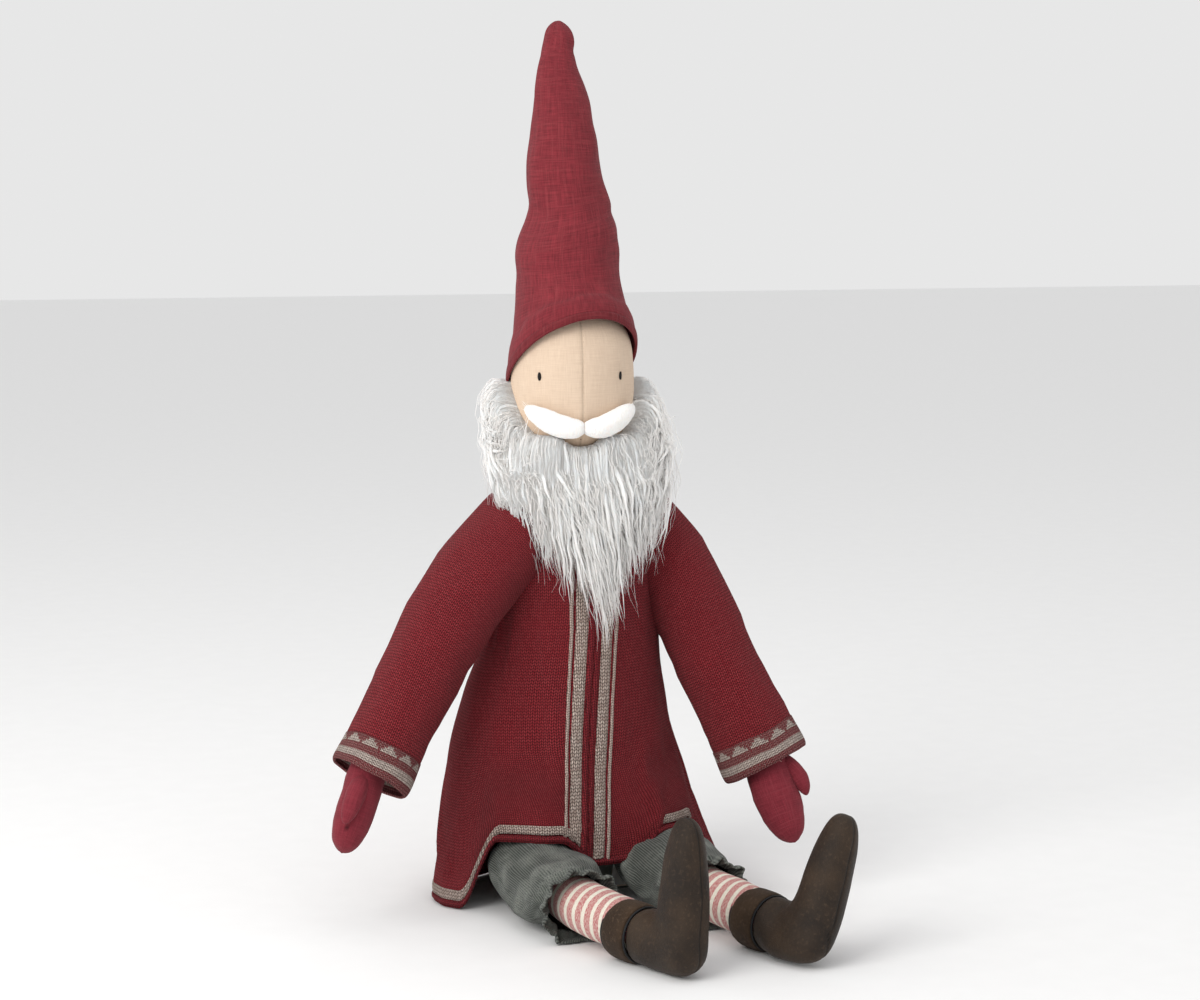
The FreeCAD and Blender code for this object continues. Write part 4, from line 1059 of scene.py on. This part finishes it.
# %% Collar
collar_rings = [
    flat_ring(0, -1, 315, 66, 43.5), flat_ring(0, -1, 321, 61.5, 43), flat_ring(0, -1, 327, 53.5, 41.5),
    flat_ring(0, -1, 333, 45.5, 39), flat_ring(0, -1, 338, 40, 37.2), flat_ring(0, -1, 340.5, 37.6, 36)]
collar = tube("collar_knitted", collar_rings, 96, (False, False), 1, 0.75)
move_points(collar, lambda point: point + Vector((0, 0, 0.6 * grain(point, 14, 8))))
wall(collar, 2.0)
dress(collar, collar_knit, "nordic_knit", TORSO, "jacket_collar")

# %% [markdown]
# ## Sleeves
# A raglan sleeve starts at the neck, covers the shoulder and hangs along the arm. Its circles follow
# a bent line. The cuff end is open, so the tube gets a wall, and the mitten comes out of it.
# Its line follows the body near the neck and the arm past the shoulder, but the sleeve moves with no body;
# only its cuff moves with the arm.

# %% Circles along a bent line
def bent_rings(points, sizes, hint):
    """Circles square to a line through points; `hint` is where each circle starts."""
    rings = []
    for index, centre in enumerate(points):
        before = points[max(index - 1, 0)]
        after = points[min(index + 1, len(points) - 1)]
        heading = (after - before).normalized()
        across = (hint - heading * hint.dot(heading)).normalized()
        rings.append(ring(centre, across, heading.cross(across), *sizes[index]))
    return rings


ARM_SPREAD = {"left": 20, "right": 35}
ARM_FORWARD = {"left": 18, "right": 12}
SHOULDER = Vector((62, -8, 288))


def arm_heading(name, side):
    spread, forward = math.radians(ARM_SPREAD[name]), math.radians(ARM_FORWARD[name])
    down = -math.cos(spread)
    return Vector((side * math.sin(spread), down * math.sin(forward), down * math.cos(forward)))


def arm_point(name, side, far):
    """A point on the arm's middle line, past the shoulder."""
    return Vector((side * SHOULDER.x, SHOULDER.y, SHOULDER.z)) + arm_heading(name, side) * far


CUFF_END = {"left": 210, "right": 218}
ARM_BOW = {"left": 0.0, "right": 7.0}


def sleeve_point(name, side, far):
    """The sleeve bows outward a little between the shoulder and the cuff."""
    bow = ARM_BOW[name] * math.sin(math.pi * min(max(far / 190, 0), 1.1))
    return arm_point(name, side, far) + Vector((side * 0.82, 0, 0.0)) * bow


FRONTWARD = Vector((0, -1, 0))
SLEEVE_SIZES = {
    "right": [(24, 26), (34, 33), (38, 36), (37, 35), (34, 32.5), (32, 31), (30, 30), (29, 30)],
    "left": [(24, 26), (33, 32), (37, 35), (35, 34), (31, 32.5), (28, 33), (26, 34), (25, 35)]}
for name, side in SIDES.items():
    line = [Vector((side * 20, 0, 312)), Vector((side * 42, -2, 297)), Vector((side * 58, -6, 276))]
    line += [sleeve_point(name, side, far) for far in (40, 85, 130, 168, CUFF_END[name] - 20)]
    sleeve = tube(name + "_sleeve_knitted", bent_rings(line, SLEEVE_SIZES[name], FRONTWARD), 40,
                  (False, False), 2, 0.0)
    pivot = arm_point(name, side, 0)
    heading = arm_heading(name, side)

    def sleeve_folds(point):
        far = (point - pivot).dot(heading)
        axis = pivot + heading * far
        out = (point - axis).normalized()
        slack = smoothstep(-10, 50, far) * (1 - smoothstep(165, 192, far))
        fold = 2.4 * grain((point.x * 0.7, point.y, point.z * 0.7), 26, 31 + side)
        fold += 1.1 * grain(point, 12, 41 + side)
        pinch = -2.2 * math.exp(-((far - 36) / 9) ** 2) * smoothstep(0.2, 0.9, -out.x * side)
        return point + out * (fold * slack + pinch)

    move_points(sleeve, sleeve_folds)
    wall(sleeve, KNIT_THICK)
    dress(sleeve, red_knit, "red_knit", None, name + "_sleeve")
    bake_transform(sleeve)
    wide, tall = SLEEVE_SIZES[name][-1]
    cuff_line = [sleeve_point(name, side, CUFF_END[name] - back) for back in (0, 1.5, 7, 13, 19, 26)]
    grow = (-0.6, 1.0, 1.2, 0.8, 0.3, -0.2)
    cuff_sizes = [(wide + more + 0.6, tall + more + 0.6) for more in grow]
    cuff_rings = bent_rings(cuff_line, cuff_sizes, FRONTWARD)
    cuff = tube(name + "_cuff_knitted", cuff_rings, 96, (False, False), 1, 0.0)
    move_points(cuff, lambda point: point + heading * (1.1 * grain(point, 17, 51 + side)))
    wall(cuff, KNIT_THICK)
    dress(cuff, cuff_knit, "nordic_knit", name + "_arm", name + "_cuff_band")

# %% [markdown]
# ## Mittens
# A stuffed cotton mitten in two halves, with the seam round its edge. The circles
# give its full shape, and the run under pressure leaves it there. The thumb is a small bag of its own.

# %% Mittens
MITTEN_TIP = {"left": Vector((143, -100, 44)), "right": Vector((-212, -61, 64))}
MITTEN_FLAT = {"left": Vector((0.95, -0.3, 0.25)), "right": Vector((-0.52, -0.85, 0.0))}
WRIST = {"left": Vector((-2, 0, -6)), "right": Vector((-5, -4, -8))}
INSIDE_CUFF = {"left": Vector((-6, 4, 30)), "right": Vector((8, 3, 34))}
MITTEN_ROWS = [(0.0, 13.5, 12.5), (0.18, 14.8, 13), (0.36, 17.2, 14), (0.58, 18.3, 14.8), (0.76, 17.8, 14.3),
               (0.9, 13.8, 11.2), (0.97, 8.5, 7.2), (1.0, 2.2, 2.0)]
for name, side in SIDES.items():
    cuff_middle = sleeve_point(name, side, CUFF_END[name])
    start, bend, tip = cuff_middle + INSIDE_CUFF[name], cuff_middle + WRIST[name], MITTEN_TIP[name]
    line = []
    for share, wide, thick in MITTEN_ROWS:
        line.append(start.lerp(bend, share).lerp(bend.lerp(tip, share), share))
    sizes = [(wide, thick) for share, wide, thick in MITTEN_ROWS]
    flat = MITTEN_FLAT[name].normalized()
    hand = tube(name + "_mitten_sewn", bent_rings(line, sizes, flat), 32, (True, True), 2)
    down = (tip - bend).normalized()
    root = line[2]
    thumb_line = [root + flat * 6 - down * 2, root + flat * 14 + down * 4, root + flat * 19 + down * 14,
                  root + flat * 20.5 + down * 24, root + flat * 20 + down * 31,
                  root + flat * 19.4 + down * 34]
    thumb_sizes = [(6, 6), (7.5, 7.5), (7.6, 7.4), (6.6, 6.4), (4.2, 4), (1, 1)]
    thumb_rings = bent_rings(thumb_line, thumb_sizes, flat.cross(down))
    thumb = tube(name + "_thumb_sewn", thumb_rings, 20, (True, True), 2)

    def seam_rule(point, flat=flat, line=line):
        nearest = min(line, key=lambda spot: (spot - point).length)
        out = point - nearest
        edgeways = abs(out.normalized().dot(flat))
        groove = -0.9 * smoothstep(0.985, 1.0, edgeways)
        pucker = 0.45 * grain(point, 5, 61) + 0.7 * grain(point, 14, 62)
        return point + out.normalized() * (groove + pucker)

    inflate(hand, 1.5, 0.0, 1.5, lambda point: (point - start).length < 22, 10, 12)
    mark_seam(hand, lambda point: smoothstep(0.992, 0.999, abs(
        (point - min(line, key=lambda spot: (spot - point).length)).normalized().dot(flat))))
    move_points(hand, seam_rule)
    move_points(thumb, uneven(7, (1, 2, 3), 0.6))
    dress(hand, mitten_cotton, "mitten_cotton", name + "_arm", name + "_mitten_palm", name + "_mitten_back",
          name + "_mitten_stuffing")
    dress(thumb, mitten_cotton, "mitten_cotton", name + "_arm")

# %% [markdown]
# ## Legs
# A straight stuffed tube in striped cloth, sewn in the hip and bent a little outwards at the knee.

# %% Hip, knee and ankle
HIP = {"left": Vector((50, -48, 34)), "right": Vector((-50, -38, 34))}
THIGH_YAW = math.radians(-4)
SHIN_YAW = {"left": math.radians(13), "right": math.radians(16)}
THIGH_LONG, SHIN_LONG, KNEE_HEIGHT, ANKLE_HEIGHT = 100, 112, 27, 21
UPWARD = Vector((0, 0, 1))


def level_heading(yaw):
    return Vector((math.sin(yaw), -math.cos(yaw), 0))


def leg_spots(name):
    knee = HIP[name] + level_heading(THIGH_YAW) * THIGH_LONG
    knee.z = KNEE_HEIGHT
    ankle = knee + level_heading(SHIN_YAW[name]) * SHIN_LONG
    ankle.z = ANKLE_HEIGHT
    return HIP[name], knee, ankle


for name in SIDES:
    hip, knee, ankle = leg_spots(name)
    line = [hip.lerp(knee, 0.1), hip.lerp(knee, 0.5), hip.lerp(knee, 0.88), knee.lerp(ankle, 0.12),
            knee.lerp(ankle, 0.3), knee.lerp(ankle, 0.5), knee.lerp(ankle, 0.62)]
    sizes = [(16, 16), (19.5, 19.5), (19.4, 19.4), (19.3, 19.3), (19.2, 19.2), (18.8, 18.8), (17.5, 17.5)]
    leg = tube(name + "_leg_sewn", bent_rings(line, sizes, UPWARD), 32, (True, True), 2)
    move_points(leg, uneven(16, (71, None, 72), 0.8))
    dress(leg, striped_sock, "striped_sock", name + "_leg", name + "_leg_cover", name + "_leg_stuffing")

# %% [markdown]
# ## Trouser legs
# Needlecord knickerbockers: a wide tube gathered by elastic under the knee. Above the elastic the
# cloth bulges over it in deep soft folds; below it the free edge stands off the leg as a frill.

# %% Trouser legs
TROUSER_ROWS = [(-6, 36, 26), (10, 40, 27.5), (30, 40, 27.5), (52, 38, 27.5), (70, 35, 27), (83, 32.5, 27),
                (90, 28.5, 26), (94, 23.6, 23.4), (96.5, 23.2, 23), (100, 26, 25.4), (106, 29.5, 28.4),
                (112, 30.4, 29)]
ELASTIC = 95.5
for name, side in SIDES.items():
    hip, knee, ankle = leg_spots(name)
    heading = (knee - hip).normalized()
    across = (UPWARD - heading * UPWARD.dot(heading)).normalized()
    rings = [ring(hip + heading * far, across, heading.cross(across), tall, wide)
             for far, wide, tall in TROUSER_ROWS]
    trouser = tube(name + "_trouser_sewn", rings, 64, (False, False), 2, 0.0)

    def gather(point, hip=hip, heading=heading, side=side):
        far = (point - hip).dot(heading)
        axis = hip + heading * far
        out = (point - axis).normalized()
        turn = math.atan2(out.z, out.x)
        near_elastic = math.exp(-((far - ELASTIC) / 16) ** 2)
        frill = smoothstep(ELASTIC + 1, ELASTIC + 10, far)
        wander = 1.5 * grain((turn * 3, 0, side), 1.0, 3)
        pleat = math.sin(turn * 11 + wander) * 0.6 + math.sin(turn * 19 + side) * 0.4
        folds = 5.2 * grain((point.x * 0.5 + far * 0.35, point.y * 0.25, point.z), 14, 81 + side)
        folds += 1.6 * grain((point.x, point.y * 0.6, point.z), 8, 91 + side)
        body = smoothstep(0, 25, far) * (1 - smoothstep(80, 94, far))
        moved = point + out * (folds * body + pleat * (1.5 * near_elastic + 2.2 * frill))
        moved -= heading * (1.8 * frill * (1 + grain((turn * 5, 0, side), 1.0, 7)))
        moved.z = max(moved.z, 1.6 + 0.5 * grain(point, 6, 3))
        return moved

    move_points(trouser, gather)
    inflate(trouser, 0.9, -0.03, 4.0, lambda point, hip=hip, heading=heading: (
        (point - hip).dot(heading) > 90 or (point - hip).dot(heading) < 6), 12, 10, 0.2)
    move_points(trouser, lambda point: Vector((point.x, point.y, max(point.z, 1.4))))
    wall(trouser, CORDUROY_THICK)
    dress(trouser, corduroy, "corduroy", name + "_leg", name + "_trouser_leg", name + "_trouser_elastic")

# %% [markdown]
# ## Boots
# Two halves of nubuck sewn down the middle make a boot with a tall pointed toe that stands up
# from the heel, or leans outwards. The circles run along the shaft, turn in a fan round the instep,
# and climb to the toe. A strip of suede closes the shaft, with a waxed cord between the two.

# %% Boots
TOE_FALL = {"left": math.radians(25), "right": math.radians(5)}
for name, side in SIDES.items():
    hip, knee, ankle = leg_spots(name)
    shin = level_heading(SHIN_YAW[name])
    sideways = Vector((math.cos(SHIN_YAW[name]), math.sin(SHIN_YAW[name]), 0))
    toeward = UPWARD * math.cos(TOE_FALL[name]) + sideways * math.sin(TOE_FALL[name])
    level = sideways * math.cos(TOE_FALL[name]) - UPWARD * math.sin(TOE_FALL[name])

    def fan(back, low, ahead_of, high, wide, across, ankle=ankle, shin=shin, toeward=toeward):
        """A circle from a low outer point to a high inner point, given along the shin and the toe."""
        outer = ankle + shin * back + toeward * low
        inner = ankle + shin * ahead_of + toeward * high
        up = (inner - outer).normalized()
        return ring((inner + outer) / 2, up, across, (inner - outer).length / 2, wide)

    half_way = (sideways + level).normalized()
    rings = [
        ring(ankle - shin * 36.5, UPWARD, sideways, 18.2, 18.2),
        ring(ankle - shin * 36.3, UPWARD, sideways, 19.5, 19.5),
        ring(ankle - shin * 35, UPWARD, sideways, 20.2, 20.2),
        ring(ankle - shin * 31, UPWARD, sideways, 20.0, 19.8),
        fan(-22, -20.6, -25, 19.5, 18.5, sideways), fan(-6, -20.4, -21.5, 20.8, 17.8, sideways),
        fan(9, -19.2, -20, 23, 17.4, half_way), fan(18.5, -12.5, -19, 26, 17.2, half_way),
        fan(21, -2, -18.6, 30, 17.2, half_way),
        fan(21, 12, -18.4, 35, 17.0, level), fan(19.8, 28, -18.4, 42, 16.8, level),
        fan(18.4, 43, -18.2, 50, 16.3, level),
        fan(16.4, 57, -17.6, 60, 15.3, level), fan(14.2, 70, -16.4, 71, 13.6, level),
        fan(11.2, 80, -14.4, 80, 11.4, level),
        fan(7.6, 86.4, -11.2, 86.4, 8.4, level), fan(2.6, 90.2, -6.4, 90.2, 4.0, level)]
    boot = tube(name + "_boot_sewn", rings, 48, (True, True), 2)

    def boot_rule(point, ankle=ankle, level=level, sideways=sideways):
        off = point - ankle
        aside_of = off.dot(level) if off.dot(UPWARD) > 8 else off.dot(sideways)
        groove = math.exp(-(aside_of / 0.75) ** 2)
        centre = ankle + UPWARD * max(off.z, 0) * 0.9
        inward = (centre - point).normalized()
        moved = uneven(22, (101, 102, 103), 1.1)(point) + inward * groove * 0.75
        moved.z = max(moved.z, 0.5)
        return moved

    mark_seam(boot, lambda point, ankle=ankle, level=level, sideways=sideways: math.exp(-((
        (point - ankle).dot(level) if (point - ankle).z > 8 else (point - ankle).dot(sideways)) / 0.55) ** 2))
    move_points(boot, boot_rule)
    dress(boot, boot_leather, "boot_leather", name + "_leg", name + "_boot_left_half",
          name + "_boot_right_half", name + "_boot_stuffing")
    cuff_rows = [(-61.5, 18.9), (-61.6, 20.2), (-60, 20.9), (-50, 20.9), (-40, 20.8), (-38.4, 20.3),
                 (-38.4, 18.7)]
    cuff_rings = [ring(ankle + shin * far, UPWARD, sideways, half, half) for far, half in cuff_rows]
    cuff = tube(name + "_boot_cuff_strip", cuff_rings, 48, (False, False), 1)

    def cuff_rule(point):
        """Kept off the floor, and a little uneven."""
        soft = Vector((grain(point, 12, 5), 0, grain(point, 12, 6))) * 0.3
        return Vector((point.x, point.y, max(point.z, 0.6))) + soft

    move_points(cuff, cuff_rule)
    wall(cuff, SUEDE_THICK)
    dress(cuff, suede, "suede", name + "_leg", name + "_boot_cuff")
    rounds = []
    for far, half in ((-62.4, 19.9), (-37.4, 20.5)):
        turn_points = []
        for step in range(25):
            turn = 2 * math.pi * step / 24
            place = ankle + shin * far + UPWARD * math.cos(turn) * half * 0.985
            turn_points.append((place + sideways * math.sin(turn) * half, 1.0))
        rounds.append(turn_points)
    cord = threads(name + "_boot_cord_rounds", rounds, 1.7, 3, 2)
    dress(cord, black_cord, "black_cord", name + "_leg", name + "_boot_cord")

# %% [markdown]
# ## What stays from the frame
# The inside pieces keep their shape from the frame. Each gets a finish that suits it.

# %% Finishes for the inside pieces
INSIDE = {"stuffing": filling, "pellet_bag": body_cotton, "body_cover": body_cotton, "arm_cover": body_cotton,
          "elastic": body_cotton, "trousers_seat": corduroy_inside, "cover": face_cotton}
for label, node in frame["nodes"].items():
    finish = next((value for key, value in INSIDE.items() if key in label), body_cotton)
    node.data.materials.clear()
    node.data.materials.append(finish)
print(len(frame["nodes"]), "frame nodes have a finish")
